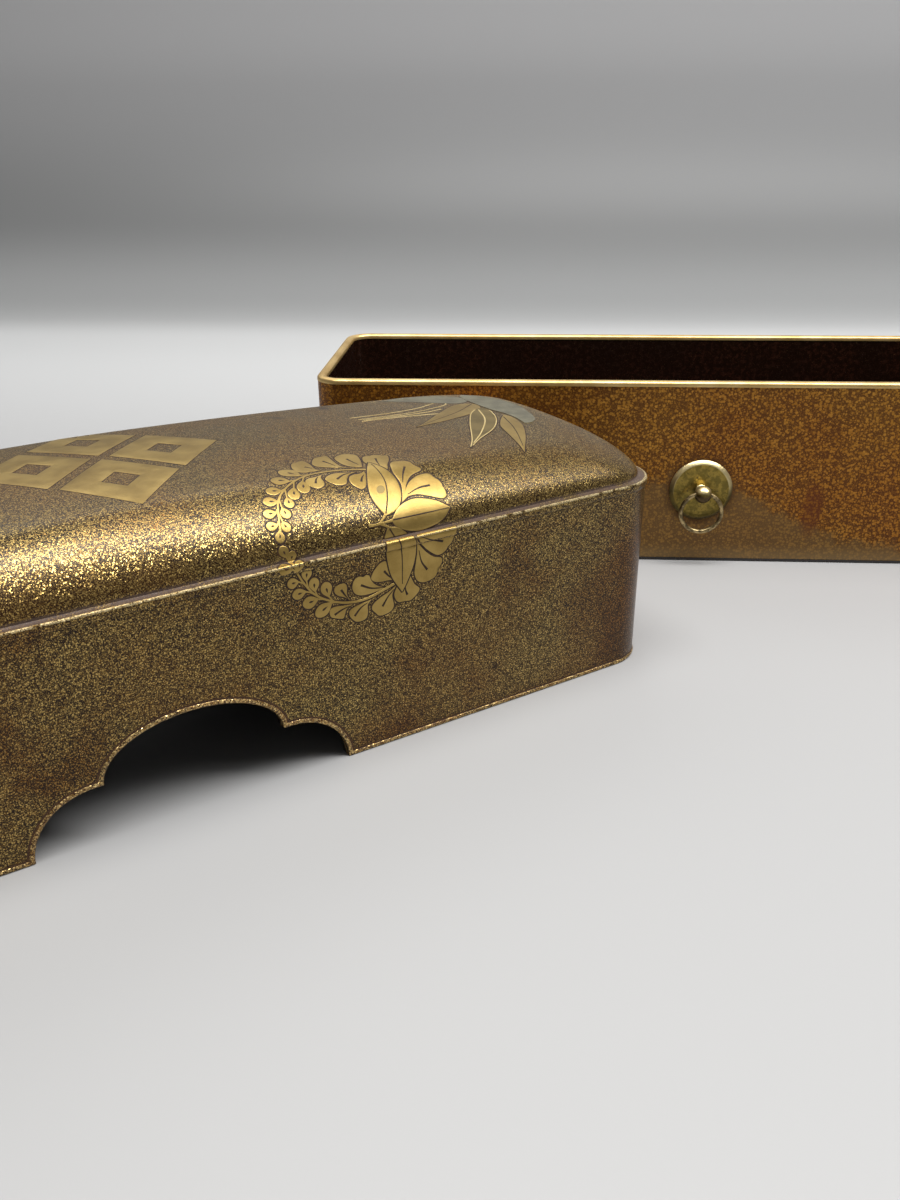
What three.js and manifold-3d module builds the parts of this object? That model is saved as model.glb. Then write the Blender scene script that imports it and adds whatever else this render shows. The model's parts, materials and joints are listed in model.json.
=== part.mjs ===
import * as THREE from "three";
import { mergeVertices } from "three/addons/utils/BufferGeometryUtils.js";
import Module from "manifold-3d";

// A long lacquer letter box with its lid taken off and stood in front of it, turned a little.
// Millimetres, +Z up. The origin is the middle of the body's underside, +X runs along the body
// and its front, with the ring fitting that shows, faces -Y.

const wasm = await Module();
wasm.setup();

// Body
const bodyLength = 240;
const bodyWidth = 75.5;
const bodyHeight = 57.9;
const bodyCorner = 8.3;
const bodyWall = 2.6;
const floorThickness = 3.2;
const plinthHeight = 1;
const plinthInset = 0.5;
const rimHeight = 1.6;
const rimProud = 0.15;

// Lid, which slips over the body
const lidClearance = 0.5;
const lidWall = 3;
const ceilingHeight = 46.9; // lower edge of the lid to the underside that rests on the rim
const mouldHeight = 2; // edge moulding of the top board, above the side boards
const mouldProud = 0.5;
const grooveDepth = 0.35;
const coveWidth = 1.2;
const coveRise = 0.35;
const domeRise = 11.55; // rise of the shoulder above the moulding
const domeShoulder = 14.6; // how far in from the edge the shoulder reaches
const crownRise = 3.5; // extra height along the middle of the top
const endDrop = 5; // how much lower the top is at its two ends
const topThickness = 3.5;
const hollowShoulder = 9;
const ledgeMargin = 1;
const beadWidth = 1.2; // raised bead along the lower edge and round the cut-outs
const beadProud = 0.3;

// Shaped cut-out in each long side of the lid: an arch between two quarter-round lobes
const archHalfWidth = 18.8;
const archRise = 10.65;
const lobeCentre = 20.5;
const lobeHalfWidth = 13.1;
const lobeRise = 12.45;

// Where the lid stands: turned, with one round corner close to the body's front
const lidTurnDegrees = 35.58;
const lidStandOff = 0.4; // that corner's gap to the body's front
const lidCornerAlong = 47.8; // from the body's left end to where that corner comes nearest

// Ring fitting
const plateHeightOnWall = 24.1; // height of its middle above the table
const plateRadius = 9.7;
const plateEdge = 0.5;
const plateThickness = 1.3;
const plateBevel = 1.1;
const plateDish = 0.4;
const pinRadius = 1.1;
const pinHoleRadius = 1.35;
const headRadius = 2.7;
const eyeReach = 4.5; // wall face to the middle of the eye
const eyeRadius = 1.15;
const neckRadius = 1.5;
const washerRadius = 4;
const washerThickness = 0.6;
const legLength = 7;
const legThickness = 0.9;
const legWidth = 1.5;
const slitWidth = 0.3;
const ringRadius = 6.3; // to the middle of its wire
const wireRadius = 0.6;
const ringRise = 0.3; // height of the wire's middle above the eye's middle

// Joints between boards are glued, and so is what lies flat on them
const glueLine = 0.06;
// Cutting solids run this far past what they cut
const overrun = 5;
// Corners of a mesh that lie closer than this are one corner
const weldDistance = 0.0001;

// Shape of the dome: exponents of its shoulder and of the fall of its top towards the ends, how
// much rounder its outline gets at the corners on the way in, and how round it may get
const shoulderPower = 1.8;
const endPower = 1.6;
const cornerGainShare = 0.5;
const widestCornerShare = 0.96;

// Facets
const cornerSteps = 6;
const longSteps = 10;
const shortSteps = 4;
const roundSteps = 28;
const curveSteps = 10;
const wireSteps = 10;

const skirtHeight = ceilingHeight + mouldHeight;
const lidOverhang = lidClearance + lidWall;
const lidHalfLength = bodyLength / 2 + lidOverhang;
const lidHalfWidth = bodyWidth / 2 + lidOverhang;
const lidCorner = bodyCorner + lidOverhang;

const lacquerLid = { color: 0x7c5f33, roughness: 0.38, metalness: 0.55 };
const lacquerBody = { color: 0x74481a, roughness: 0.35, metalness: 0.3 };
const blackLacquer = { color: 0x120c09, roughness: 0.3, metalness: 0 };
const gilt = { color: 0xc9a25a, roughness: 0.3, metalness: 0.9 };
const brass = { color: 0x8a7533, roughness: 0.45, metalness: 0.85 };

function pieceMesh(name, geometry, look) {
  const mesh = new THREE.Mesh(geometry, new THREE.MeshStandardMaterial(look));
  mesh.name = name;
  return mesh;
}

// Solids for cutting and joining
function toSolid(geometry) {
  const bare = geometry.clone();
  bare.deleteAttribute("normal");
  bare.deleteAttribute("uv");
  const merged = mergeVertices(bare, weldDistance);
  return new wasm.Manifold(
    new wasm.Mesh({
      numProp: 3,
      vertProperties: new Float32Array(merged.attributes.position.array),
      triVerts: new Uint32Array(merged.index.array),
    }),
  );
}

function toGeometry(solid) {
  const data = solid.getMesh();
  const geometry = new THREE.BufferGeometry();
  geometry.setAttribute("position", new THREE.BufferAttribute(data.vertProperties, data.numProp));
  geometry.setIndex(new THREE.BufferAttribute(data.triVerts, 1));
  geometry.computeVertexNormals();
  return geometry;
}

// A closed outline, anticlockwise, of a rectangle with round corners. Its long and short sides
// are divided too, so that outlines of different sizes match point for point.
function roundedOutline(halfLength, halfWidth, corner) {
  const points = [];
  const corners = [
    [1, 1],
    [-1, 1],
    [-1, -1],
    [1, -1],
  ];
  const centre = ([sideX, sideY]) =>
    new THREE.Vector2(sideX * (halfLength - corner), sideY * (halfWidth - corner));
  const onArc = (place, turn) =>
    new THREE.Vector2(Math.cos(turn), Math.sin(turn)).multiplyScalar(corner).add(centre(place));
  for (const [index, place] of corners.entries()) {
    const start = (index * Math.PI) / 2;
    for (let step = 0; step <= cornerSteps; step++) {
      points.push(onArc(place, start + ((step / cornerSteps) * Math.PI) / 2));
    }
    const next = corners[(index + 1) % corners.length];
    const from = points[points.length - 1];
    const to = onArc(next, start + Math.PI / 2);
    const steps = index % 2 === 0 ? longSteps : shortSteps;
    for (let step = 1; step < steps; step++) {
      points.push(from.clone().lerp(to, step / steps));
    }
  }
  return points;
}

// A surface through a stack of matching rings of points, closed by a cap at each end or, when
// loop is set, by joining the last ring to the first.
function loft(rings, loop = false) {
  const count = rings[0].length;
  const positions = rings.flatMap((ring) => ring.flatMap((point) => point.toArray()));
  const index = [];
  const bands = loop ? rings.length : rings.length - 1;
  for (let band = 0; band < bands; band++) {
    const low = band * count;
    const high = ((band + 1) % rings.length) * count;
    for (let step = 0; step < count; step++) {
      const next = (step + 1) % count;
      index.push(low + step, low + next, high + next);
      index.push(low + step, high + next, high + step);
    }
  }
  if (!loop) {
    const flat = (ring) => ring.map((point) => new THREE.Vector2(point.x, point.y));
    const last = (rings.length - 1) * count;
    for (const [a, b, c] of THREE.ShapeUtils.triangulateShape(flat(rings[0]), [])) {
      index.push(a, c, b);
    }
    for (const [a, b, c] of THREE.ShapeUtils.triangulateShape(flat(rings.at(-1)), [])) {
      index.push(last + a, last + b, last + c);
    }
  }
  const geometry = new THREE.BufferGeometry();
  geometry.setAttribute("position", new THREE.Float32BufferAttribute(positions, 3));
  geometry.setIndex(index);
  geometry.computeVertexNormals();
  return geometry;
}

// A ring that follows a rounded outline at a given inset, its height from a function of place.
function insetRing(halfLength, halfWidth, corner, inset, heightAt) {
  const outline = roundedOutline(halfLength - inset, halfWidth - inset, corner);
  return outline.map((point) => new THREE.Vector3(point.x, point.y, heightAt(point)));
}

// One of the four boards of a wall that goes round: the one on the -Y side, with mitred ends in
// the middle of its round corners.
function wallBoard(halfRun, halfAcross, corner, wall, low, high) {
  const shape = new THREE.Shape();
  const centreX = halfRun - corner;
  const centreY = corner - halfAcross;
  const inner = corner - wall;
  const outerEnd = Math.PI / 4 - Math.asin(glueLine / 2 / corner);
  const innerEnd = Math.PI / 4 - Math.asin(glueLine / 2 / inner);
  const down = -Math.PI / 2;
  shape.absarc(-centreX, centreY, corner, down - outerEnd, down, false);
  shape.absarc(centreX, centreY, corner, down, down + outerEnd, false);
  shape.absarc(centreX, centreY, inner, down + innerEnd, down, true);
  shape.absarc(-centreX, centreY, inner, down, down - innerEnd, true);
  const board = new THREE.ExtrudeGeometry(shape, {
    depth: high - low,
    bevelEnabled: false,
    curveSegments: cornerSteps,
  });
  return board.translate(0, 0, low);
}

// The boards of a wall: front, back, left end and right end, each with what is done to it.
function wallBoards(prefix, sizes, look, finish = {}) {
  const { halfLength, halfWidth, corner, wall, low, high } = sizes;
  const group = new THREE.Group();
  const sides = [
    ["front_board", halfLength, halfWidth, 0, finish.long],
    ["back_board", halfLength, halfWidth, Math.PI, finish.long],
    ["left_end_board", halfWidth, halfLength, -Math.PI / 2, finish.end],
    ["right_end_board", halfWidth, halfLength, Math.PI / 2, finish.end],
  ];
  for (const [name, halfRun, halfAcross, turn, work] of sides) {
    const plain = wallBoard(halfRun, halfAcross, corner, wall, low, high);
    const worked = work ? work(plain, halfRun, halfAcross) : plain;
    const board = pieceMesh(`${prefix}_${name}`, worked, look);
    board.rotation.z = turn;
    group.add(board);
  }
  return group;
}

// A plate with a rounded outline and upright edges.
function roundedPlate(halfLength, halfWidth, corner, low, high) {
  const level = (height) => insetRing(halfLength, halfWidth, corner, 0, () => height);
  return loft([level(low), level(high)]);
}

// A turned solid from a profile of radius and height, standing along +Z.
function turned(profile) {
  const points = profile.map(([radius, height]) => new THREE.Vector2(radius, height));
  return new THREE.LatheGeometry(points, roundSteps).rotateX(Math.PI / 2);
}

// A round bar along +Z between two heights.
function roundBar(radius, low, high) {
  return turned([
    [0, low],
    [radius, low],
    [radius, high],
    [0, high],
  ]);
}

// Lid

// Outline of the cut-out in the plane of a long side, with X along the lid and its lower edge
// at zero. Grow gives the same outline further out.
function cutOutShape(grow) {
  const shape = new THREE.Shape();
  const lobeAcross = lobeHalfWidth + grow;
  const lobeUp = lobeRise + grow;
  const archUp = archRise + grow;
  const side = lobeCentre + lobeAcross;
  const springing = Math.asin(grow / archUp);
  const landing = Math.PI - springing;
  shape.moveTo(side, -overrun);
  shape.lineTo(side, 0);
  shape.absellipse(lobeCentre, 0, lobeAcross, lobeUp, 0, Math.PI / 2, false);
  shape.absellipse(0, lobeRise, archHalfWidth + grow, archUp, springing, landing, false);
  shape.absellipse(-lobeCentre, 0, lobeAcross, lobeUp, Math.PI / 2, Math.PI, false);
  shape.lineTo(-side, -overrun);
  return shape;
}

// The cut-out's outline as a solid from one distance in front of the lid's middle to another.
function cutOutSolid(grow, near, far) {
  const prism = new THREE.ExtrudeGeometry(cutOutShape(grow), {
    depth: far - near,
    bevelEnabled: false,
    curveSegments: curveSteps,
  });
  return prism.rotateX(Math.PI / 2).translate(0, -near, 0);
}

// The bead strip along the lower edge of one board of the lid.
function edgeBead(halfRun, halfAcross) {
  return wallBoard(
    halfRun + beadProud,
    halfAcross + beadProud,
    lidCorner + beadProud,
    lidWall / 2 + beadProud,
    0,
    beadWidth,
  );
}

function beadedEndBoard(plain, halfRun, halfAcross) {
  return toGeometry(toSolid(plain).add(toSolid(edgeBead(halfRun, halfAcross))));
}

function shapedLongBoard(plain, halfRun, halfAcross) {
  const middle = halfAcross - lidWall / 2;
  const band = cutOutSolid(beadWidth, middle, halfAcross + beadProud);
  const way = cutOutSolid(0, halfAcross - lidWall - overrun, halfAcross + overrun);
  const below = roundedPlate(halfRun, halfAcross + overrun, lidCorner, -overrun - overrun, 0);
  return toGeometry(
    toSolid(plain)
      .add(toSolid(edgeBead(halfRun, halfAcross)))
      .add(toSolid(band))
      .subtract(toSolid(way))
      .subtract(toSolid(below)),
  );
}

// Height of the finished top above the moulding, before its shoulder falls to the edge.
function topRise({ x, y }) {
  const crown = crownRise * (1 - (y / lidHalfWidth) ** 2);
  const fall = endDrop * Math.abs(x / lidHalfLength) ** endPower;
  return domeRise + crown - fall;
}

// A shoulder that starts upright and ends level.
function shoulder(share) {
  return (1 - (1 - Math.min(share, 1)) ** shoulderPower) ** (1 / shoulderPower);
}

function lidRing(inset, heightAt) {
  const gain = inset > 0 ? inset * cornerGainShare : -inset;
  const widest = (lidHalfWidth - inset) * widestCornerShare;
  const corner = Math.min(lidCorner + gain, widest);
  return insetRing(lidHalfLength, lidHalfWidth, corner, inset, heightAt);
}

function topBoard() {
  const ceiling = ceilingHeight + glueLine;
  const ledge = lidWall + lidClearance + bodyWall + ledgeMargin;
  const shoulderShares = [0, 0.02, 0.07, 0.15, 0.27, 0.42, 0.6, 0.8, 1];
  const fieldShares = [0.3, 0.6, 0.85, 0.95];
  const hollowShares = [0, 0.03, 0.12, 0.3, 0.6, 1];
  const grooveTopShare = 0.2;
  // the moulding: shares of how far it stands out and of its height
  const mouldShares = [
    [0.6, 0.3],
    [1, 0.45],
    [1, 0.75],
    [0.6, 0.92],
  ];
  // the cove above it: shares of its width and of its rise
  const coveShares = [
    [0.1, 0],
    [0.6, 0.2],
  ];

  const fieldWidth = lidHalfWidth - domeShoulder;
  const coveTop = skirtHeight + coveRise;
  const outerAt = (share) => (point) => coveTop + (topRise(point) - coveRise) * shoulder(share);
  const hollowAt = (share) => (point) =>
    ceiling + (skirtHeight + topRise(point) - topThickness - ceiling) * shoulder(share);
  const mouldAt = (share) => () => ceilingHeight + mouldHeight * share;

  const rings = [];
  for (const share of fieldShares.toReversed()) {
    const start = ledge + hollowShoulder;
    rings.push(lidRing(start + (lidHalfWidth - start) * share, hollowAt(1)));
  }
  for (const share of hollowShares.toReversed()) {
    rings.push(lidRing(ledge + hollowShoulder * share, hollowAt(share)));
  }
  rings.push(lidRing(grooveDepth, () => ceiling));
  rings.push(lidRing(grooveDepth, mouldAt(grooveTopShare)));
  for (const [out, up] of mouldShares) {
    rings.push(lidRing(-mouldProud * out, mouldAt(up)));
  }
  for (const [across, up] of coveShares) {
    rings.push(lidRing(coveWidth * across, () => skirtHeight + coveRise * up));
  }
  for (const share of shoulderShares) {
    rings.push(lidRing(coveWidth + (domeShoulder - coveWidth) * share, outerAt(share)));
  }
  for (const share of fieldShares) {
    rings.push(lidRing(domeShoulder + fieldWidth * share, outerAt(1)));
  }
  return loft(rings);
}

function lid() {
  const group = new THREE.Group();
  group.add(pieceMesh("lid_top_board", topBoard(), lacquerLid));
  const sizes = {
    halfLength: lidHalfLength,
    halfWidth: lidHalfWidth,
    corner: lidCorner,
    wall: lidWall,
    low: 0,
    high: ceilingHeight,
  };
  group.add(wallBoards("lid", sizes, lacquerLid, { long: shapedLongBoard, end: beadedEndBoard }));
  return group;
}

// Body

function bottomBoard() {
  const fit = bodyWall + glueLine;
  const board = roundedPlate(
    bodyLength / 2 - fit,
    bodyWidth / 2 - fit,
    bodyCorner - fit,
    0,
    plinthHeight + floorThickness,
  );
  const plinth = roundedPlate(
    bodyLength / 2 - plinthInset,
    bodyWidth / 2 - plinthInset,
    bodyCorner - plinthInset,
    0,
    plinthHeight,
  );
  return toGeometry(toSolid(board).add(toSolid(plinth)));
}

// Long wall with the hole for the split pin
function boredBoard(plain, halfRun, halfAcross) {
  const hole = roundBar(pinHoleRadius, -overrun, bodyWall + overrun)
    .rotateX(Math.PI / 2)
    .translate(0, -halfAcross + bodyWall, plateHeightOnWall);
  return toGeometry(toSolid(plain).subtract(toSolid(hole)));
}

// Edging on top of the walls, half round on top
function rim() {
  const low = bodyHeight - rimHeight;
  const middle = bodyWall / 2;
  const half = middle + rimProud;
  const round = rimHeight / 2;
  const section = [[middle - half, low]];
  for (let step = 0; step <= cornerSteps; step++) {
    const turn = (step / cornerSteps) * Math.PI;
    section.push([middle - half * Math.cos(turn), low + round + round * Math.sin(turn)]);
  }
  section.push([middle + half, low]);
  const rings = section.map(([inset, height]) =>
    insetRing(bodyLength / 2, bodyWidth / 2, bodyCorner - inset, inset, () => height),
  );
  return loft(rings, true);
}

function body() {
  const group = new THREE.Group();
  group.add(pieceMesh("body_bottom_board", bottomBoard(), blackLacquer));
  const sizes = {
    halfLength: bodyLength / 2,
    halfWidth: bodyWidth / 2,
    corner: bodyCorner,
    wall: bodyWall,
    low: plinthHeight + glueLine,
    high: bodyHeight - rimHeight - glueLine,
  };
  group.add(wallBoards("body", sizes, lacquerBody, { long: boredBoard }));
  group.add(pieceMesh("body_rim", rim(), gilt));
  return group;
}

// Ring fitting. It is made lying on the wall's face at zero, with +Z away from the wall and
// +Y up.

function rosettePlate() {
  const foot = glueLine;
  const flat = plateRadius - plateBevel;
  // the dished face: shares of the flat's radius and of the dish's depth
  const dishShares = [
    [1, 0],
    [0.9, 0.4],
    [0.6, 0.85],
  ];
  return turned([
    [pinHoleRadius, foot],
    [plateRadius, foot],
    [plateRadius, plateEdge],
    ...dishShares.map(([across, down]) => [flat * across, plateThickness - plateDish * down]),
    [pinHoleRadius, plateThickness - plateDish],
    [pinHoleRadius, foot],
  ]);
}

function washer() {
  const top = -bodyWall - glueLine;
  return turned([
    [pinHoleRadius, top - washerThickness],
    [washerRadius, top - washerThickness],
    [washerRadius, top],
    [pinHoleRadius, top],
    [pinHoleRadius, top - washerThickness],
  ]);
}

// One leg of the split pin, bent out over the washer towards +X
function pinLeg() {
  const flankShare = 0.85;
  const near = slitWidth / 2;
  const top = -bodyWall / 2;
  const seat = -bodyWall - glueLine - washerThickness - glueLine;
  const low = seat - legThickness;
  const round = legThickness / 2;
  const flank = pinRadius * flankShare;
  const shape = new THREE.Shape();
  shape.moveTo(near, top);
  shape.lineTo(near, seat);
  shape.absarc(near + legThickness, seat, legThickness, Math.PI, (3 * Math.PI) / 2, false);
  shape.lineTo(legLength - round, low);
  shape.absarc(legLength - round, low + round, round, -Math.PI / 2, Math.PI / 2, false);
  shape.lineTo(flank, seat);
  shape.lineTo(flank, top);
  const leg = new THREE.ExtrudeGeometry(shape, {
    depth: legWidth,
    bevelEnabled: false,
    curveSegments: cornerSteps,
  });
  return leg.translate(0, 0, -legWidth / 2).rotateX(Math.PI / 2);
}

function eyeStud() {
  const neckTopShare = 0.8;
  const waistShare = 0.8;
  const neckTop = eyeReach - headRadius * neckTopShare;
  const foot = plateThickness - plateDish + glueLine;
  const end = -bodyWall - washerThickness;
  const profile = [
    [0, end],
    [pinRadius, end],
    [pinRadius, foot],
    [neckRadius, foot],
    [neckRadius * waistShare, (foot + neckTop) / 2],
  ];
  const start = Math.acos(neckTopShare);
  for (let step = 0; step <= curveSteps; step++) {
    const turn = start + ((Math.PI - start) * step) / curveSteps;
    profile.push([headRadius * Math.sin(turn), eyeReach - headRadius * Math.cos(turn)]);
  }
  profile[profile.length - 1][0] = 0;
  const eye = roundBar(eyeRadius, -headRadius - overrun, headRadius + overrun)
    .rotateY(Math.PI / 2)
    .translate(0, 0, eyeReach);
  const slitTop = end + bodyWall;
  const slit = new THREE.BoxGeometry(slitWidth, legWidth * 2, overrun);
  slit.translate(0, 0, slitTop - overrun / 2);
  const right = toSolid(pinLeg());
  const left = toSolid(pinLeg().rotateZ(Math.PI));
  const pin = toSolid(turned(profile)).subtract(toSolid(slit));
  return toGeometry(pin.add(right).add(left).subtract(toSolid(eye)));
}

function cordRing() {
  const ring = new THREE.TorusGeometry(ringRadius, wireRadius, wireSteps, roundSteps);
  return ring.translate(0, ringRise - ringRadius, eyeReach);
}

function ringFitting(side) {
  const group = new THREE.Group();
  group.add(pieceMesh(`${side}_plate`, rosettePlate(), brass));
  group.add(pieceMesh(`${side}_eye_stud`, eyeStud(), brass));
  group.add(pieceMesh(`${side}_washer`, washer(), brass));
  group.add(pieceMesh(`${side}_ring`, cordRing(), brass));
  group.rotation.x = Math.PI / 2;
  group.position.set(0, -bodyWidth / 2, plateHeightOnWall);
  return group;
}

const box = new THREE.Group();
box.add(body());
box.add(ringFitting("front"));

const farSide = new THREE.Group();
farSide.add(ringFitting("back"));
farSide.rotation.z = Math.PI;
box.add(farSide);

const lidTurn = THREE.MathUtils.degToRad(lidTurnDegrees);
const upright = new THREE.Vector3(0, 0, 1);
const nearCorner = new THREE.Vector3(lidHalfLength - lidCorner, lidHalfWidth - lidCorner, 0);
nearCorner.applyAxisAngle(upright, lidTurn);
const takenOff = lid();
takenOff.rotation.z = lidTurn;
takenOff.position.set(
  lidCornerAlong - bodyLength / 2 - nearCorner.x,
  -bodyWidth / 2 - lidStandOff - mouldProud - lidCorner - nearCorner.y,
  0,
);
box.add(takenOff);

export default box;
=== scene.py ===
import json
import math
import bpy
import bmesh
import numpy as np
from mathutils import Matrix, Vector

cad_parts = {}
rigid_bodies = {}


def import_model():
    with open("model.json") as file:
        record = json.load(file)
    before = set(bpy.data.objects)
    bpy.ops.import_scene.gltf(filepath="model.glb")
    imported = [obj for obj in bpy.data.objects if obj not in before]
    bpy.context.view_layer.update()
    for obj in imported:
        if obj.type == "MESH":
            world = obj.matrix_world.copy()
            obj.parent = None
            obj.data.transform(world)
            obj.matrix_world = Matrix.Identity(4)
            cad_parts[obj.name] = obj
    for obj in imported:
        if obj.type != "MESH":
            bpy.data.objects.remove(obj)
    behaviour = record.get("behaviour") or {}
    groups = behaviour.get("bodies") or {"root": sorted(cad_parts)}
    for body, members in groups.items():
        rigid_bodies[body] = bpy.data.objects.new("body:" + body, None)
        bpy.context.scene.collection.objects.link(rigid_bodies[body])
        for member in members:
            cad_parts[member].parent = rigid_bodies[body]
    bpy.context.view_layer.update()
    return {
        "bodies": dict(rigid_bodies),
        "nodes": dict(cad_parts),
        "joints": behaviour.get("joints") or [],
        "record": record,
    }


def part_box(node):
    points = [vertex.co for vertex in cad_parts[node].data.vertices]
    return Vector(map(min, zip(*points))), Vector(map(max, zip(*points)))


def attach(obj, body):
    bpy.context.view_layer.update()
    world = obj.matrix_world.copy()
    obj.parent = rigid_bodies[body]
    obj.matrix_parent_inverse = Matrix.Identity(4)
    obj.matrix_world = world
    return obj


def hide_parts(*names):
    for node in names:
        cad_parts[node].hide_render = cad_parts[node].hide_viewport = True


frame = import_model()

mm = 0.001  # everything below is written in millimetres and made in metres


# Camera, where the photograph was taken from

camera = {
    "place": (-60.65, -339.9, 127.45),
    "turn": 3.413,  # degrees to the left of +Y
    "down": 25.307,
    "roll": -0.388,
    "lens": 30.096,
    "sensor": 36.0,
}


def makeCamera():
    data = bpy.data.cameras.new("camera")
    data.lens = camera["lens"]
    data.sensor_width = camera["sensor"]
    data.clip_start = 10 * mm
    data.clip_end = 20.0
    shot = bpy.data.objects.new("camera", data)
    aim = (
        Matrix.Rotation(math.radians(camera["turn"]), 4, "Z")
        @ Matrix.Rotation(math.radians(90 - camera["down"]), 4, "X")
        @ Matrix.Rotation(math.radians(camera["roll"]), 4, "Z")
    )
    shot.matrix_world = Matrix.Translation(Vector(camera["place"]) * mm) @ aim
    bpy.context.scene.collection.objects.link(shot)
    bpy.context.scene.camera = shot


# Shader tools

class Tree:
    # adds nodes to a node tree in few words
    def __init__(self, tree):
        self.tree = tree
        self.links = tree.links

    def add(self, kind, settings=None, **inputs):
        node = self.tree.nodes.new(kind)
        for key, value in (settings or {}).items():
            setattr(node, key, value)
        for key, value in inputs.items():
            self.feed(node, key.replace("_", " "), value)
        return node

    def feed(self, node, key, value):
        if isinstance(key, str) and key.startswith("in "):
            key = int(key[3:])
        socket = node.inputs[key]
        if isinstance(value, bpy.types.NodeSocket):
            self.links.new(value, socket)
        else:
            socket.default_value = value

    def sum(self, operation, first, second=0.0, third=0.0, clamp=False):
        # one step of arithmetic, by its name in Blender
        node = self.add("ShaderNodeMath", {"operation": operation, "use_clamp": clamp})
        for index, value in enumerate((first, second, third)):
            self.feed(node, "in %d" % index, value)
        return node.outputs[0]

    def vector(self, operation, first, second=(0, 0, 0), scale=None):
        node = self.add("ShaderNodeVectorMath", {"operation": operation})
        self.feed(node, "in 0", first)
        self.feed(node, "in 1", second)
        if scale is not None:
            self.feed(node, "Scale", scale)
        return node.outputs["Value" if operation == "LENGTH" else "Vector"]

    def between(self, value, low, high):
        # 0 below low and 1 above high, smooth in between; low may be the larger
        node = self.add("ShaderNodeMapRange", {"interpolation_type": "SMOOTHSTEP"}, Value=value)
        self.feed(node, "From Min", low)
        self.feed(node, "From Max", high)
        return node.outputs["Result"]

    def blend(self, share, first, second):
        node = self.add("ShaderNodeMix", {"data_type": "RGBA"})
        for index, value in ((0, share), (6, first), (7, second)):
            self.feed(node, "in %d" % index, value)
        return node.outputs[2]

    def noise(self, place, size, detail=2.0, rough=0.5, distort=0.0):
        # cloudy noise whose lumps are about size millimetres across
        node = self.add("ShaderNodeTexNoise", Vector=place, Detail=detail, Roughness=rough)
        self.feed(node, "Scale", 1 / (size * mm))
        self.feed(node, "Distortion", distort)
        return node.outputs["Fac"]

    def bump(self, strength, distance, height):
        # distance in metres
        node = self.add("ShaderNodeBump", Strength=strength, Distance=distance, Height=height)
        return node.outputs["Normal"]


def rgb(red, green, blue):
    # a colour as seen on the screen, 0 to 255, for a socket
    def linear(value):
        share = value / 255
        return share / 12.92 if share <= 0.04045 else ((share + 0.055) / 1.055) ** 2.4
    return (linear(red), linear(green), linear(blue), 1.0)


def newGroup(name, inputs, outputs):
    # inputs: label, kind and value; outputs: label and kind
    group = bpy.data.node_groups.new(name, "ShaderNodeTree")
    for label, kind, value in inputs:
        socket = group.interface.new_socket(
            name=label, in_out="INPUT", socket_type="NodeSocket" + kind,
        )
        if value is not None:
            socket.default_value = value
    for label, kind in outputs:
        group.interface.new_socket(name=label, in_out="OUTPUT", socket_type="NodeSocket" + kind)
    tree = Tree(group)
    return group, tree, tree.add("NodeGroupInput").outputs, tree.add("NodeGroupOutput")


flakeForm = {
    "frayScale": 2600.0,  # lumps to the metre of the noise that frays the flakes' edges
    "fray": 0.00022,  # metres
    "reach": (0.42, 0.22),  # of a flake in its cell: what chance adds, and the least
    "rim": (-0.05, 0.08),  # from none to all of a flake across its edge
}


def makeFlakesGroup():
    # metal flakes sprinkled in lacquer: each cell may hold one, with its own size, tone and tilt
    group, tree, given, out = newGroup(
        "sprinkledFlakes",
        [
            ("Place", "Vector", None),
            ("Size", "Float", 0.5),
            ("Cover", "Float", 0.8),
            ("Tilt", "Float", 0.5),
        ],
        [("Flake", "Float"), ("Tone", "Float"), ("Normal", "Vector")],
    )
    scale = tree.sum("DIVIDE", 1.0, tree.sum("MULTIPLY", given["Size"], mm))
    centre = (0.5, 0.5, 0.5)
    fray = tree.add(
        "ShaderNodeTexNoise", Vector=given["Place"], Scale=flakeForm["frayScale"], Detail=1.0,
    )
    shift = tree.vector("SUBTRACT", fray.outputs["Color"], centre)
    shift = tree.vector("SCALE", shift, scale=flakeForm["fray"])
    place = tree.vector("ADD", given["Place"], shift)
    cell = tree.add("ShaderNodeTexVoronoi", {"feature": "F1"}, Vector=place, Scale=scale)
    split = tree.add("ShaderNodeSeparateColor", Color=cell.outputs["Color"])
    reach = tree.sum("MULTIPLY_ADD", split.outputs["Red"], *flakeForm["reach"])
    reach = tree.sum("MULTIPLY", reach, given["Cover"])
    edge = tree.sum("SUBTRACT", reach, cell.outputs["Distance"])
    flake = tree.between(edge, *flakeForm["rim"])
    tree.feed(out, "Flake", flake)
    tree.feed(out, "Tone", split.outputs["Green"])
    lean = tree.vector("SUBTRACT", cell.outputs["Color"], centre)
    lean = tree.vector("SCALE", lean, scale=tree.sum("MULTIPLY", given["Tilt"], flake))
    normal = tree.add("ShaderNodeNewGeometry").outputs["Normal"]
    tree.feed(out, "Normal", tree.vector("NORMALIZE", tree.vector("ADD", normal, lean)))
    return group


def overLimit(tree, value, amount, limits, rim):
    # where the value is over a limit that comes down as the amount goes up, with a soft rim;
    # limits: the change with the amount, and the limit at none
    limit = tree.sum("MULTIPLY_ADD", amount, *limits)
    return tree.between(value, limit, tree.sum("ADD", limit, rim))


stainForm = {
    "cloud": (0.34, 0.68),
    "spotScale": 2.7,  # how many times smaller spots are than clouds
    "spotLimits": (-0.3, 0.78),
    "spotRim": 0.12,
}


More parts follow.
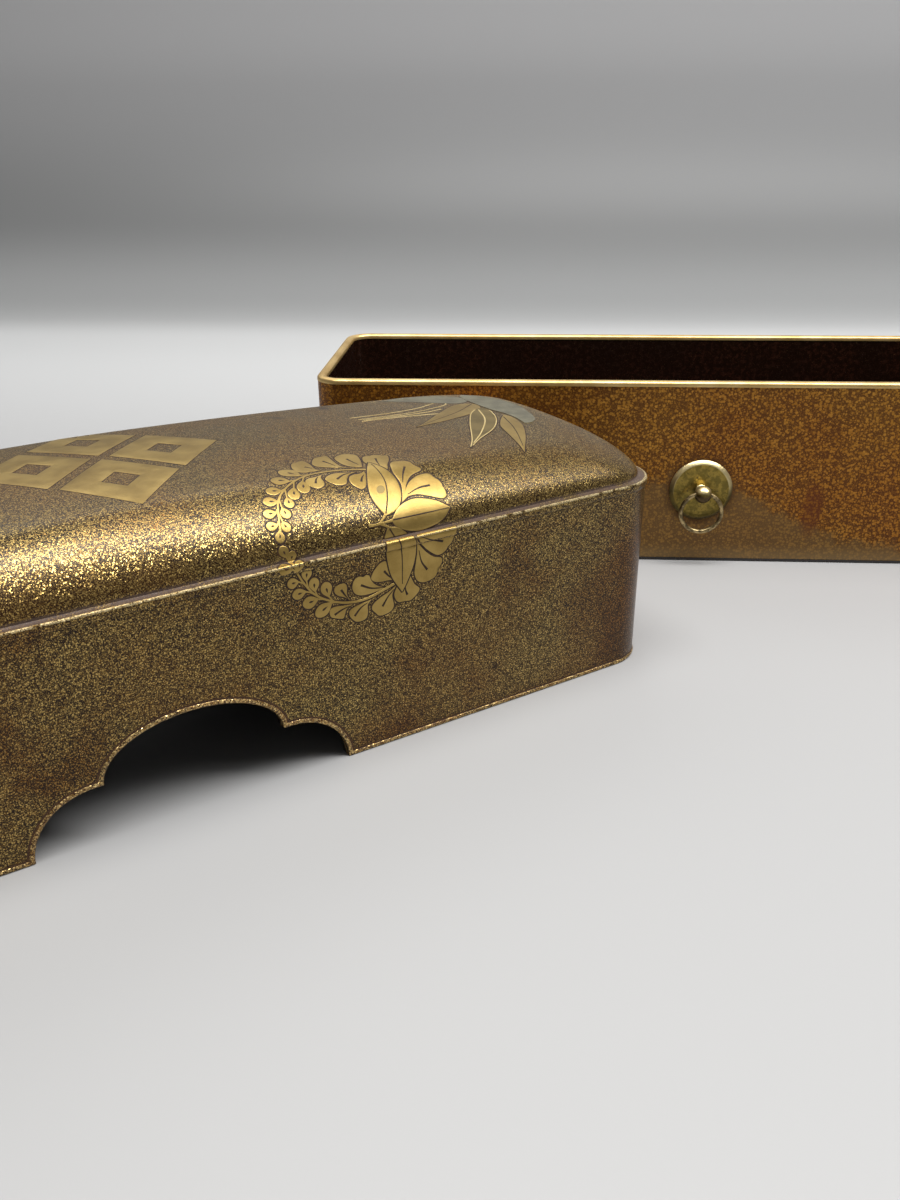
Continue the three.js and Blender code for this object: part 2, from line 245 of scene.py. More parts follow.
def makeStainsGroup():
    # slow changes over the surface: broad clouds, and smaller worn spots with soft rims
    group, tree, given, out = newGroup(
        "oldStains",
        [("Place", "Vector", None), ("Size", "Float", 30.0), ("Amount", "Float", 0.5)],
        [("Cloud", "Float"), ("Spots", "Float")],
    )
    near = tree.vector("SCALE", given["Place"], scale=tree.sum("DIVIDE", 1000.0, given["Size"]))
    cloud = tree.add(
        "ShaderNodeTexNoise", Vector=near, Scale=1.0, Detail=3.0, Roughness=0.55, Distortion=0.4,
    )
    tree.feed(out, "Cloud", tree.between(cloud.outputs["Fac"], *stainForm["cloud"]))
    spot = tree.add(
        "ShaderNodeTexNoise", Vector=near, Scale=stainForm["spotScale"], Detail=4.0, Roughness=0.6,
    )
    tree.feed(out, "Spots", overLimit(
        tree, spot.outputs["Fac"], given["Amount"], stainForm["spotLimits"], stainForm["spotRim"],
    ))
    return group


wearForm = {
    "grainSize": 0.35,
    "patchSize": 2.6,
    "patchLimits": (-0.34, 0.8),
    "patchRim": 0.1,
    "scratchSize": 0.5,
    "scratchStretch": (1.0, 0.25, 1.0),
    "scratchHeight": 0.6,
}


def makeWearGroup():
    # rubbing of gilding: fine grain, soft scratches and dark specks where it has gone
    group, tree, given, out = newGroup(
        "goldWear",
        [("Place", "Vector", None), ("Amount", "Float", 0.3)],
        [("Grain", "Float"), ("Loss", "Float"), ("Height", "Float")],
    )
    grain = tree.noise(given["Place"], wearForm["grainSize"], 3.0, 0.7)
    patch = tree.noise(given["Place"], wearForm["patchSize"], 4.0, 0.62)
    tree.feed(out, "Grain", grain)
    tree.feed(out, "Loss", overLimit(
        tree, patch, given["Amount"], wearForm["patchLimits"], wearForm["patchRim"],
    ))
    long = tree.vector("MULTIPLY", given["Place"], wearForm["scratchStretch"])
    scratches = tree.noise(long, wearForm["scratchSize"], 2.0)
    height = tree.sum("MULTIPLY_ADD", scratches, wearForm["scratchHeight"], grain)
    tree.feed(out, "Height", height)
    return group


def newMaterial(name, **fixed):
    material = bpy.data.materials.new(name)
    material.use_nodes = True
    tree = Tree(material.node_tree)
    shader = material.node_tree.nodes["Principled BSDF"]
    for key, value in fixed.items():
        tree.feed(shader, key.replace("_", " "), value)
    place = tree.add("ShaderNodeTexCoord").outputs["Object"]
    return material, tree, shader, place


def useGroup(tree, group, **inputs):
    return tree.add("ShaderNodeGroup", {"node_tree": group}, **inputs).outputs


# Floor and backdrop

stageLook = {
    "floor": rgb(156, 156, 156),
    # painted light and shade: the floor lighter further back, painted shade in the bend of the
    # sweep and darkest at the wall's foot, the wall lighter above; along which way, between which
    # places in metres, and what the colour has turned to after
    "bands": (
        ("Y", 0.0, 0.28, rgb(187, 188, 188)),
        ("Y", 0.33, 0.45, rgb(138, 139, 139)),
        ("Z", 0.0, 0.06, rgb(106, 107, 107)),
        ("Z", 0.055, 0.2, rgb(151, 151, 152)),
    ),
    "bendStart": 390,
    "bendRadius": 160,
    "near": -900,
    "halfWidth": 1600,
    "wallTopHeight": 1500,
    "bendSteps": 24,
}


def makeStage():
    look = stageLook
    outline = [(look["near"], 0.0), (look["bendStart"], 0.0)]
    for step in range(1, look["bendSteps"] + 1):
        turn = math.pi / 2 * step / look["bendSteps"]
        outline.append((
            look["bendStart"] + look["bendRadius"] * math.sin(turn),
            look["bendRadius"] * (1 - math.cos(turn)),
        ))
    outline.append((look["bendStart"] + look["bendRadius"], look["wallTopHeight"]))
    mesh = bpy.data.meshes.new("floor")
    corners = [
        (side * look["halfWidth"] * mm, y * mm, z * mm) for y, z in outline for side in (-1, 1)
    ]
    faces = [(2 * i, 2 * i + 1, 2 * i + 3, 2 * i + 2) for i in range(len(outline) - 1)]
    mesh.from_pydata(corners, [], faces)
    mesh.shade_smooth()
    floor = bpy.data.objects.new("floor", mesh)
    bpy.context.scene.collection.objects.link(floor)
    material, tree, shader, place = newMaterial("paleFloor", Roughness=0.5)
    split = tree.add("ShaderNodeSeparateXYZ", Vector=place)
    colour = look["floor"]
    # paints the bands of light and shade over the floor's colour
    for way, low, high, tone in look["bands"]:
        colour = tree.blend(tree.between(split.outputs[way], low, high), colour, tone)
    tree.feed(shader, "Base Color", colour)
    mesh.materials.append(material)


lightLooks = {
    # metres and watts
    "softbox": {
        "place": (0.5, -0.17, 1.1), "target": (0.5, -0.17, 0.0), "size": (1.45, 0.95),
        "power": 10.5, "tint": (1.0, 0.99, 0.98),
    },
    "softboxCore": {
        "place": (0.28, -0.24, 1.09), "target": (0.28, -0.24, 0.0), "size": (1.6, 0.27),
        "power": 22.5, "tint": (1.0, 0.99, 0.98),
    },
    "window": {
        "place": (-0.60, 0.50, 0.71), "target": (-0.60, -0.2, 0.51), "size": (1.2, 0.78),
        "power": 4.5, "tint": (1.0, 1.0, 1.0),
    },
}
roomLight = 0.1


def addLight(name, place, target, size, power, tint):
    data = bpy.data.lights.new(name, "AREA")
    data.shape = "RECTANGLE"
    data.size, data.size_y = size
    data.energy = power
    data.color = tint
    lamp = bpy.data.objects.new(name, data)
    lamp.location = place
    lamp.rotation_euler = (Vector(target) - Vector(place)).to_track_quat("-Z", "Y").to_euler()
    bpy.context.scene.collection.objects.link(lamp)


def makeLights():
    for name, look in lightLooks.items():
        addLight(name, **look)
    world = bpy.data.worlds.new("room")
    bpy.context.scene.world = world
    world.use_nodes = True
    back = world.node_tree.nodes["Background"]
    back.inputs["Color"].default_value = (1.0, 1.0, 1.0, 1.0)
    back.inputs["Strength"].default_value = roomLight


# Mesh tools

samePoint = 0.004  # millimetres: points nearer than this become one
noLength = 0.001  # and edges shorter than this go
creaseAngle = 38  # degrees: the least turn that shows as a sharp edge


def newPiece(name, body, matrix, materials, build, inMesh=False, replaces=()):
    # inMesh puts the place into the mesh, for a piece that stands turned
    mesh = bpy.data.meshes.new(name)
    work = bmesh.new()
    build(work)
    bmesh.ops.remove_doubles(work, verts=work.verts, dist=samePoint)
    bmesh.ops.dissolve_degenerate(work, edges=work.edges, dist=noLength)
    bmesh.ops.scale(work, vec=(mm, mm, mm), verts=work.verts)
    if inMesh:
        bmesh.ops.transform(work, matrix=matrix, verts=work.verts)
        matrix = Matrix.Identity(4)
    work.to_mesh(mesh)
    work.free()
    for material in materials:
        mesh.materials.append(material)
    mesh.shade_smooth()
    mesh.set_sharp_from_angle(angle=math.radians(creaseAngle))
    piece = bpy.data.objects.new(name, mesh)
    bpy.context.scene.collection.objects.link(piece)
    piece.matrix_world = matrix
    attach(piece, body)
    if replaces:
        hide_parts(*replaces)
    return piece


def joinRings(work, rings, loop=False, slotOf=None):
    # faces between matching rings of points, outward when the rings run anticlockwise going down
    rows = [[work.verts.new(point) for point in ring] for ring in rings]
    if loop:
        rows.append(rows[0])
    count = len(rows[0])
    for level in range(len(rows) - 1):
        for step in range(count):
            after = (step + 1) % count
            upper, lower = rows[level], rows[level + 1]
            face = work.faces.new((upper[step], lower[step], lower[after], upper[after]))
            if slotOf:
                face.material_index = slotOf(level)
    return rows


def sideOf(along):
    # to the left of a direction in a plane
    return Vector((-along.y, along.x))


# Lid: its form, so that everything on it can be laid on its surface

lidForm = {
    "turn": 35.58,  # degrees from the body's length
    "halfLength": 123.5,
    "halfWidth": 41.25,
    "corner": 11.8,
    "wall": 3.0,
    "ceiling": 46.9,
    "mouldHeight": 2.0,
    "mouldProud": 0.43,
    "mouldPower": 0.6,
    "mouldReach": 0.49,  # of its height, up and down from its middle
    "groove": 0.2,
    "grooveDrop": 0.03,
    "coveWidth": 1.2,
    "coveRise": 0.35,
    "domeRise": 11.35,
    "shoulder": 14.6,
    "shoulderPower": 1.8,
    "crownRise": 3.5,
    "endDrop": 5.0,
    "endPower": 1.6,
    "cornerGain": 0.5,
    "widestCorner": 0.96,
    "topThickness": 3.5,
    "ledge": 7.1,
    "hollowShoulder": 9.0,
    # the rings that the skin is made of; the last ones lie along a line in the middle
    "middleInset": 0.97,  # of the half width
    "middleLength": 0.985,
    "fieldRows": 10,
    "fieldPower": 0.8,
    "shoulderRows": 24,
    "coveRows": (0.7, 0.4, 0.12),
    "mouldRows": 8,
    "wallGaps": (0.05, 0.1),  # at the lower edge and under the moulding
    "wallRows": (1.0, 0.97, 0.8, 0.6, 0.4, 0.2, 0.06, 0.0),
    "insideRows": (0.0, 0.06, 0.3, 0.6, 0.9),
    "filletInset": 0.25,
    "filletEnd": 0.9,
    "hollowRows": (0.0, 0.01, 0.04, 0.1, 0.2, 0.35, 0.55, 0.8, 1.0),
    "ceilingRows": (0.25, 0.5, 0.8, 1.0),
    "cornerSteps": 20,
    "endSteps": 10,
    "farSteps": 14,
    "curveSteps": 14,
}

cutOut = {
    "archHalfWidth": 18.8,
    "archRise": 10.65,
    "lobeCentre": 20.5,
    "lobeHalfWidth": 13.1,
    "lobeRise": 12.45,
}

lidLow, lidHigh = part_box("lid_top_board")
lidPlace = (lidLow + lidHigh) / 2
lidTurn = Matrix.Rotation(math.radians(lidForm["turn"]), 4, "Z")
lidMatrix = Matrix.Translation((lidPlace.x, lidPlace.y, 0)) @ lidTurn
ridge = lidForm["ceiling"] + lidForm["mouldHeight"]  # height of the moulding's upper edge


def cutOutline():
    # the cut-out's edge from its left foot to its right one, as places along the lid and heights
    def quarter(centre, foot, halfWidth, rise):
        steps = lidForm["curveSteps"]
        turns = [math.pi / 2 * step / steps for step in range(steps + 1)]
        return [
            (centre + halfWidth * math.sin(turn), foot + rise * math.cos(turn)) for turn in turns
        ]
    arch = quarter(0.0, cutOut["lobeRise"], cutOut["archHalfWidth"], cutOut["archRise"])
    lobe = quarter(cutOut["lobeCentre"], 0.0, cutOut["lobeHalfWidth"], cutOut["lobeRise"])
    right = arch + lobe
    return [(-x, z) for x, z in reversed(right[1:])] + right


def longStops():
    # places along a long side that all rings share, with the height of the lower edge at each
    straight = lidForm["halfLength"] - lidForm["corner"]
    edge = cutOutline()
    foot, steps = edge[-1][0], lidForm["farSteps"]
    far = [foot + (straight - foot) * step / steps for step in range(1, steps)]
    stops = [(-x, 0.0) for x in reversed(far)] + edge + [(x, 0.0) for x in far]
    return [(x / straight, max(z, 0.0)) for x, z in stops]


lidStops = longStops()


def roundedLoop(halfLength, halfWidth, corner, longShares, shortShares, cornerSteps):
    # points and outward normals of a rectangle with round corners, anticlockwise from its front
    loop = []
    for quarter in range(4):
        turn = math.pi / 2 * (quarter - 1)
        out = Vector((round(math.cos(turn)), round(math.sin(turn))))
        along = sideOf(out)
        half, straight = halfWidth, halfLength - corner
        if quarter % 2:
            half, straight = halfLength, halfWidth - corner
        for share in shortShares if quarter % 2 else longShares:
            loop.append((out * half + along * straight * share, out))
        centre = out * (half - corner) + along * straight
        for step in range(cornerSteps + 1):
            angle = turn + math.pi / 2 * step / cornerSteps
            normal = Vector((math.cos(angle), math.sin(angle)))
            loop.append((centre + normal * corner, normal))
    return loop


def lidCornerAt(inset):
    gain = inset * lidForm["cornerGain"] if inset > 0 else -inset
    return min(lidForm["corner"] + gain, (lidForm["halfWidth"] - inset) * lidForm["widestCorner"])


def lidLoop(inset, corner=None):
    steps = lidForm["endSteps"]
    return roundedLoop(
        lidForm["halfLength"] - inset,
        lidForm["halfWidth"] - inset,
        lidCornerAt(inset) if corner is None else corner,
        [share for share, low in lidStops],
        [2 * step / steps - 1 for step in range(1, steps)],
        lidForm["cornerSteps"],
    )


def lowerEdge():
    # height of the lower edge at each point of a loop
    heights = []
    for quarter in range(4):
        count = lidForm["endSteps"] - 1 if quarter % 2 else len(lidStops)
        lows = [0.0] * count if quarter % 2 else [low for share, low in lidStops]
        heights += lows + [0.0] * (lidForm["cornerSteps"] + 1)
    return heights


def shoulderShare(share):
    power = lidForm["shoulderPower"]
    return (1 - (1 - min(max(share, 0.0), 1.0)) ** power) ** (1 / power)


def topRise(x, y):
    crown = lidForm["crownRise"] * (1 - (y / lidForm["halfWidth"]) ** 2)
    drop = lidForm["endDrop"] * abs(x / lidForm["halfLength"]) ** lidForm["endPower"]
    return lidForm["domeRise"] + crown - drop


def domeHeight(x, y, inset):
    cove, rise = lidForm["coveWidth"], lidForm["coveRise"]
    if inset <= cove:
        return ridge + rise * max(inset / cove, 0.0) ** 2
    share = (inset - cove) / (lidForm["shoulder"] - cove)
    return ridge + rise + (topRise(x, y) - rise) * shoulderShare(share)


def insetAt(x, y):
    # how far inside the lid's outline a place is, by the same loops that make the dome
    straight = lidForm["halfWidth"] - abs(y)
    if abs(x) <= lidForm["halfLength"] - straight - lidCornerAt(straight):
        return straight
    low, high = 0.0, lidForm["halfWidth"] - 0.01
    for halving in range(22):
        inset = (low + high) / 2
        corner = lidCornerAt(inset)
        alongX = abs(x) - (lidForm["halfLength"] - inset - corner)
        alongY = abs(y) - (lidForm["halfWidth"] - inset - corner)
        reach = math.hypot(max(alongX, 0), max(alongY, 0)) + min(max(alongX, alongY), 0) - corner
        if reach < 0:
            low = inset
        else:
            high = inset
    return (low + high) / 2


def onTop(x, y, lift):
    # the point that lies lift above the dome
    def at(placeX, placeY):
        return Vector((placeX, placeY, domeHeight(placeX, placeY, insetAt(placeX, placeY))))
    step = 0.05
    point = at(x, y)
    normal = (at(x + step, y) - point).cross(at(x, y + step) - point).normalized()
    return point + normal * lift


front = {
    "across": 34.0,  # millimetres of the dome's section that are measured out from the front edge
    "samples": 341,
    "columns": 2,  # sections to the millimetre along the lid
}
frontRuns = {}  # by column: how long the section is up to each place across it


def onFront(x, up, lift):
    # the point lift above the surface, up millimetres along the section from the ridge; the
    # moulding and the front board lie below it
    half = lidForm["halfWidth"]
    if up > 0:
        column = round(x * front["columns"])
        if column not in frontRuns:
            across = np.linspace(0.0, front["across"], front["samples"])
            place = column / front["columns"]
            heights = np.array([domeHeight(place, y - half, y) for y in across])
            run = np.cumsum(np.hypot(np.diff(across), np.diff(heights)))
            frontRuns[column] = (np.concatenate(([0.0], run)), across)
        return onTop(x, float(np.interp(up, *frontRuns[column])) - half, lift)

    def at(down):
        share = min(down / lidForm["mouldHeight"], 1.0)
        proud = lidForm["mouldProud"] * math.sin(math.pi * share) ** lidForm["mouldPower"]
        return Vector((x, -half - max(proud, 0.0), ridge - down))
    step = 0.02
    tangent = at(-up + step) - at(max(-up - step, 0.0))
    normal = Vector((0.0, tangent.z, -tangent.y)).normalized()
    return at(-up) + normal * lift


def buildLidSkin(work):
    half, wall, ceiling = lidForm["halfWidth"], lidForm["wall"], lidForm["ceiling"]
    lows = lowerEdge()
    rings = []

    def domeRing(inset):
        rings.append([(p.x, p.y, domeHeight(p.x, p.y, inset)) for p, n in lidLoop(inset)])

    def levelRing(inset, height, corner=None):
        rings.append([(p.x, p.y, height) for p, n in lidLoop(inset, corner)])

    def wallRing(inset, share, corner):
        lift, top = lidForm["wallGaps"][0], ceiling - lidForm["wallGaps"][1]
        rings.append([
            (p.x, p.y, low + lift + (top - low - lift) * share)
            for (p, n), low in zip(lidLoop(inset, corner), lows)
        ])

    def middleLine(height):
        length = lidForm["middleLength"]
        rings.append([(p.x * length, 0.0, height(p.x)) for p, n in lidLoop(middle)])

    def below(x, y):
        return ridge + topRise(x, y) - lidForm["topThickness"]

    middle = half * lidForm["middleInset"]
    rows = lidForm["fieldRows"]
    middleLine(lambda x: domeHeight(x, 0.0, half))
    for row in range(rows):
        share = (row / rows) ** lidForm["fieldPower"]
        domeRing(middle + (lidForm["shoulder"] - middle) * share)
    rows = lidForm["shoulderRows"]
    for row in range(rows + 1):
        share = (1 - row / rows) ** 2
        domeRing(lidForm["coveWidth"] + (lidForm["shoulder"] - lidForm["coveWidth"]) * share)
    for share in lidForm["coveRows"]:
        domeRing(lidForm["coveWidth"] * share)
    rows = lidForm["mouldRows"]
    for row in range(rows + 1):
        turn = math.pi * row / rows
        proud = lidForm["mouldProud"] * max(math.sin(turn), 0.0) ** lidForm["mouldPower"]
        down = 0.5 - lidForm["mouldReach"] * math.cos(turn)
        levelRing(-proud, ridge - lidForm["mouldHeight"] * down)
    levelRing(lidForm["groove"], ceiling - lidForm["grooveDrop"])
    outer = lidForm["corner"]
    for share in lidForm["wallRows"]:
        wallRing(0.0, share, outer)
    outside = len(rings) - 1
    for share in lidForm["insideRows"]:
        wallRing(wall, share, outer - wall)
    inset = lidForm["filletInset"]
    levelRing(wall + inset, ceiling - inset, outer - wall - inset)
    levelRing(wall + lidForm["filletEnd"], ceiling)
    for share in lidForm["hollowRows"]:
        rings.append([
            (p.x, p.y, ceiling + (below(p.x, p.y) - ceiling) * shoulderShare(share))
            for p, n in lidLoop(lidForm["ledge"] + lidForm["hollowShoulder"] * share)
        ])
    start = lidForm["ledge"] + lidForm["hollowShoulder"]
    for share in lidForm["ceilingRows"]:
        loop = lidLoop(start + (middle - start) * share)
        rings.append([(p.x, p.y, below(p.x, p.y)) for p, n in loop])
    middleLine(lambda x: below(x, 0.0))
    joinRings(work, rings, slotOf=lambda level: int(level >= outside))


# The worn gold bead that follows the lid's lower edge and the cut-outs

edgeBead = {
    "width": 1.02,
    # across the bead and the dark line beside it: share of the width up from the edge, and how
    # far it stands out of the wall
    "section": (
        (0.0, -1.6), (0.0, -0.5), (0.03, -0.2), (0.1, 0.03), (0.24, 0.2), (0.5, 0.28),
        (0.78, 0.2), (0.94, 0.08), (1.0, 0.015), (1.45, 0.015), (1.5, -0.3), (0.4, -1.6),
    ),
    "darkLevels": (1, 2),
    "sharpTurn": 50,  # degrees
    "mitre": 0.5,  # the least share by which a corner's offset is divided
}


def buildEdgeBead(work):
    loop = lidLoop(0.0, lidForm["corner"])
    lows = lowerEdge()
    count = len(loop)
    run = [0.0]
    for step in range(count):
        run.append(run[-1] + (loop[(step + 1) % count][0] - loop[step][0]).length)
    total = run[-1]
    flat = [Vector((run[step], lows[step])) for step in range(count)]

    def inward(first, second):
        return sideOf((second - first).normalized())

    def neighbour(step):
        turns, index = divmod(step, count)
        return flat[index] + Vector((total * turns, 0))

    offsets, sharp = [], []
    for step in range(count):
        before = inward(neighbour(step - 1), flat[step])
        after = inward(flat[step], neighbour(step + 1))
        middle = (before + after).normalized()
        mitre = max(middle.dot(after), edgeBead["mitre"])
        offsets.append(middle / mitre * edgeBead["width"])
        turn = math.degrees(before.angle_signed(after, 0.0))
        if abs(turn) > edgeBead["sharpTurn"]:
            sharp.append(step)
    inner = [flat[step] + offsets[step] for step in range(count)]
    for corner in sharp:
        for way in (-1, 1):
            step = corner + way
            reach = (neighbour(step) - flat[corner]).length
            while reach < edgeBead["width"]:
                inner[step % count] = flat[corner] + offsets[corner]
                step += way
                reach = (neighbour(step) - flat[corner]).length

    around = [(*point, *normal) for point, normal in loop + loop[:1]]

    def onWall(place, lift):
        at = place.x % total
        x, y, nx, ny = (float(np.interp(at, run, values)) for values in zip(*around))
        normal = Vector((nx, ny)).normalized()
        return (x + normal.x * lift, y + normal.y * lift, place.y)

    columns = [
        [onWall(flat[step].lerp(inner[step], share), out) for share, out in edgeBead["section"]]
        for step in range(count)
    ]
    rings = [list(ring) for ring in zip(*columns)][::-1]
    joinRings(work, rings, True, lambda level: int(level in edgeBead["darkLevels"]))


# Body

bodyForm = {
    "length": 240.0,
    "width": 75.5,
    "corner": 8.3,
    "wall": 2.6,
    "floorTop": 4.2,
    "floorGap": 0.02,
    "floorFillet": 1.2,
    "filletSteps": 6,
    "plinth": 1.0,
    "plinthInset": 0.5,
    "plinthRound": (0.15, 0.1),  # at its top and at its foot
    "rimHeight": 1.6,
    "rimProud": 0.14,
    "rimStraight": 0.12,
    "rimPower": 0.62,
    "footGap": 0.06,
    "footRound": 0.25,
    "longSteps": 24,
    "shortSteps": 10,
    "cornerSteps": 20,
    "rimSteps": 14,
}
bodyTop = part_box("body_rim")[1].z / mm


def bodyLoop(inset):
    def stops(steps):
        return [2 * step / steps - 1 for step in range(1, steps)]
    return roundedLoop(
        bodyForm["length"] / 2 - inset,
        bodyForm["width"] / 2 - inset,
        bodyForm["corner"] - inset,
        stops(bodyForm["longSteps"]),
        stops(bodyForm["shortSteps"]),
        bodyForm["cornerSteps"],
    )


def levelLoop(inset, height):
    return [(p.x, p.y, height) for p, n in bodyLoop(inset)]


def buildBodySkin(work):
    wall, soft = bodyForm["wall"], bodyForm["footRound"]
    foot = bodyForm["plinth"] + bodyForm["footGap"]
    top = bodyTop - bodyForm["rimHeight"]
    outside = [
        (0.0, top), (0.0, top * 0.66), (0.0, top * 0.33), (0.0, foot + soft),
        (soft * 0.3, foot + soft * 0.3), (soft, foot),
    ]
    inside = [(wall, foot), (wall, bodyForm["floorTop"]), (wall, top * 0.5), (wall, top)]
    rings = [levelLoop(inset, height) for inset, height in outside + inside]
    joinRings(work, rings, loop=True, slotOf=lambda level: int(level >= len(outside)))


def buildBodyFloor(work):
    # the bottom board: floor inside with a small hollow fillet at the walls, plinth below
    wall, top = bodyForm["wall"] + bodyForm["floorGap"], bodyForm["floorTop"]
    plinth, inset = bodyForm["plinth"], bodyForm["plinthInset"]
    above, below = bodyForm["plinthRound"]
    section = []
    steps = bodyForm["filletSteps"]
    for step in range(steps + 1):
        turn = math.pi / 2 * step / steps
        inward, up = (bodyForm["floorFillet"] * (1 - way(turn)) for way in (math.sin, math.cos))
        section.append((wall + inward, top + up))
    section += [(wall, plinth), (inset + above, plinth), (inset, plinth - above)]
    section += [(inset, below), (inset + below, 0.0)]
    middle = bodyLoop(bodyForm["corner"])
    rings = [[(p.x, 0.0, top) for p, n in middle]]
    rings += [levelLoop(edge, height) for edge, height in section]
    rings.append([(p.x, 0.0, 0.0) for p, n in middle])
    joinRings(work, rings)


def buildRim(work):
    # rounded over to a nearly flat top
    wall, height = bodyForm["wall"], bodyForm["rimHeight"]
    half, middle = wall / 2 + bodyForm["rimProud"], wall / 2
    low = bodyTop - height
    straight = bodyForm["rimStraight"]
    section = [(middle - half, low), (middle - half, low + height * straight)]
    steps = bodyForm["rimSteps"]
    for step in range(1, steps):
        turn = math.pi * step / steps
        rise = straight + (1 - straight) * math.sin(turn) ** bodyForm["rimPower"]
        section.append((middle - half * math.cos(turn), low + height * rise))
    section += [(middle + half, low + height * straight), (middle + half, low)]
    joinRings(work, [levelLoop(inset, z) for inset, z in reversed(section)], loop=True)


# Ring fittings, made lying on the wall's face: X to the right, Y up, Z away from the wall.
# A profile is pairs of radius and height.

fitting = {
    "height": 24.1,
    "plateProfile": (
        (1.35, 0.06), (9.6, 0.06), (9.7, 0.16), (9.7, 0.45), (9.6, 0.58), (8.75, 1.22),
        (8.6, 1.3), (8.42, 1.3), (8.2, 1.2), (7.6, 1.08), (6.0, 0.98), (4.0, 0.93), (2.2, 0.9),
        (1.35, 0.9),
    ),
    "hammer": 0.025,
    "hammered": (1.5, 9.603),  # from which radius to which
    "headRadius": 2.7,
    "headStart": 0.84,  # of its radius behind the ball's middle, where the neck meets it
    "headSteps": 40,
    "eyeReach": 4.5,
    "eyeRadius": 1.15,
    "eyeFlare": 0.45,
    "eyeSteps": 64,
    "neckProfile": (
        (0.0, -3.2), (1.1, -3.2), (1.1, 0.96), (1.85, 0.96), (1.95, 1.1), (1.85, 1.25),
        (1.35, 1.5), (1.25, 1.8), (1.45, 2.2),
    ),
    "ringRadius": 6.25,
    "wireRadius": 0.65,
    "wireUneven": 0.03,
    "wireSides": 20,
    "ringRise": 0.3,
    "washerProfile": (
        (1.35, -3.26), (3.9, -3.26), (4.0, -3.16), (4.0, -2.76), (3.9, -2.66), (1.35, -2.66),
    ),
    "legPath": (
        (0.55, -2.0), (0.56, -3.0), (0.7, -3.64), (1.1, -3.76), (2.4, -3.74), (4.5, -3.74),
        (6.2, -3.69), (7.0, -3.72),
    ),
    "legHalfThickness": 0.42,
    "legHalfWidth": 0.75,
    "legSquareness": 0.6,
    "legSides": 12,
    "turnSteps": 96,
}


def turnProfile(work, profile, steps, closed, matrix=Matrix.Identity(4), wobble=None):
    rings = []
    for radius, height in profile:
        ring = []
        for step in range(steps):
            turn = 2 * math.pi * step / steps
            lift = wobble(radius, turn) if wobble else 0.0
            point = Vector((radius * math.cos(turn), radius * math.sin(turn), height + lift))
            ring.append(matrix @ point)
        rings.append(ring)
    joinRings(work, rings[::-1], loop=closed)


def buildPlate(work):
    def hammered(radius, turn):
        near, far = fitting["hammered"]
        if not near < radius < far:
            return 0.0
        dents = math.sin(3 * turn + radius) * math.sin(5 * turn + 1.3 * radius)
        return fitting["hammer"] * dents
    turnProfile(work, fitting["plateProfile"], fitting["turnSteps"], True, wobble=hammered)


def buildWasher(work):
    turnProfile(work, fitting["washerProfile"], fitting["turnSteps"], True)


def buildRing(work):
    # wire bent to a ring that hangs in the eye, a little uneven in its thickness
    radius, sides, steps = fitting["ringRadius"], fitting["wireSides"], fitting["turnSteps"]
    rings = []
    for side in range(sides):
        angle = 2 * math.pi * side / sides
        ring = []
        for step in range(steps):
            turn = 2 * math.pi * step / steps
            uneven = fitting["wireUneven"] * (math.sin(4 * turn + 0.7) - math.sin(7 * turn))
            thick = fitting["wireRadius"] * (1 + uneven)
            reach = radius + thick * math.cos(angle)
            ring.append((
                reach * math.cos(turn),
                reach * math.sin(turn) + fitting["ringRise"] - radius,
                fitting["eyeReach"] + thick * math.sin(angle),
            ))
        rings.append(ring)
    joinRings(work, rings[::-1], loop=True)


def buildLegs(work):
    # the pin's two legs, turned down over the washer and rounded at their ends
    path, sides, last = fitting["legPath"], fitting["legSides"], len(fitting["legPath"]) - 1

    def squared(value):
        return math.copysign(abs(value) ** fitting["legSquareness"], value)

    for way in (-1, 1):
        rings = []
        for index, (x, z) in enumerate(path):
            along = Vector(path[min(index + 1, last)]) - Vector(path[max(index - 1, 0)])
            out = sideOf(along.normalized())
            taper = 1.0 if index < last else 0.5
            ring = []
            for side in range(sides):
                turn = 2 * math.pi * side / sides
                up = squared(math.sin(turn)) * fitting["legHalfThickness"] * taper
                across = squared(math.cos(turn)) * fitting["legHalfWidth"] * taper
                ring.append((way * (x + out.x * up), across * way, z + out.y * up))
            rings.append(ring)
        rows = joinRings(work, rings)
        work.faces.new(rows[0][::-1])
        work.faces.new(rows[-1])


def buildHead(work):
    # ball head on a turned neck; the eye is bored after
    steps = fitting["headSteps"]
    start = math.acos(fitting["headStart"])
    ball = []
    for step in range(steps + 1):
        turn = start + (math.pi - start) * step / steps
        ball.append((
            max(fitting["headRadius"] * math.sin(turn), 0.0),
            fitting["eyeReach"] - fitting["headRadius"] * math.cos(turn),
        ))
    turnProfile(work, fitting["neckProfile"] + tuple(ball), fitting["turnSteps"], False)


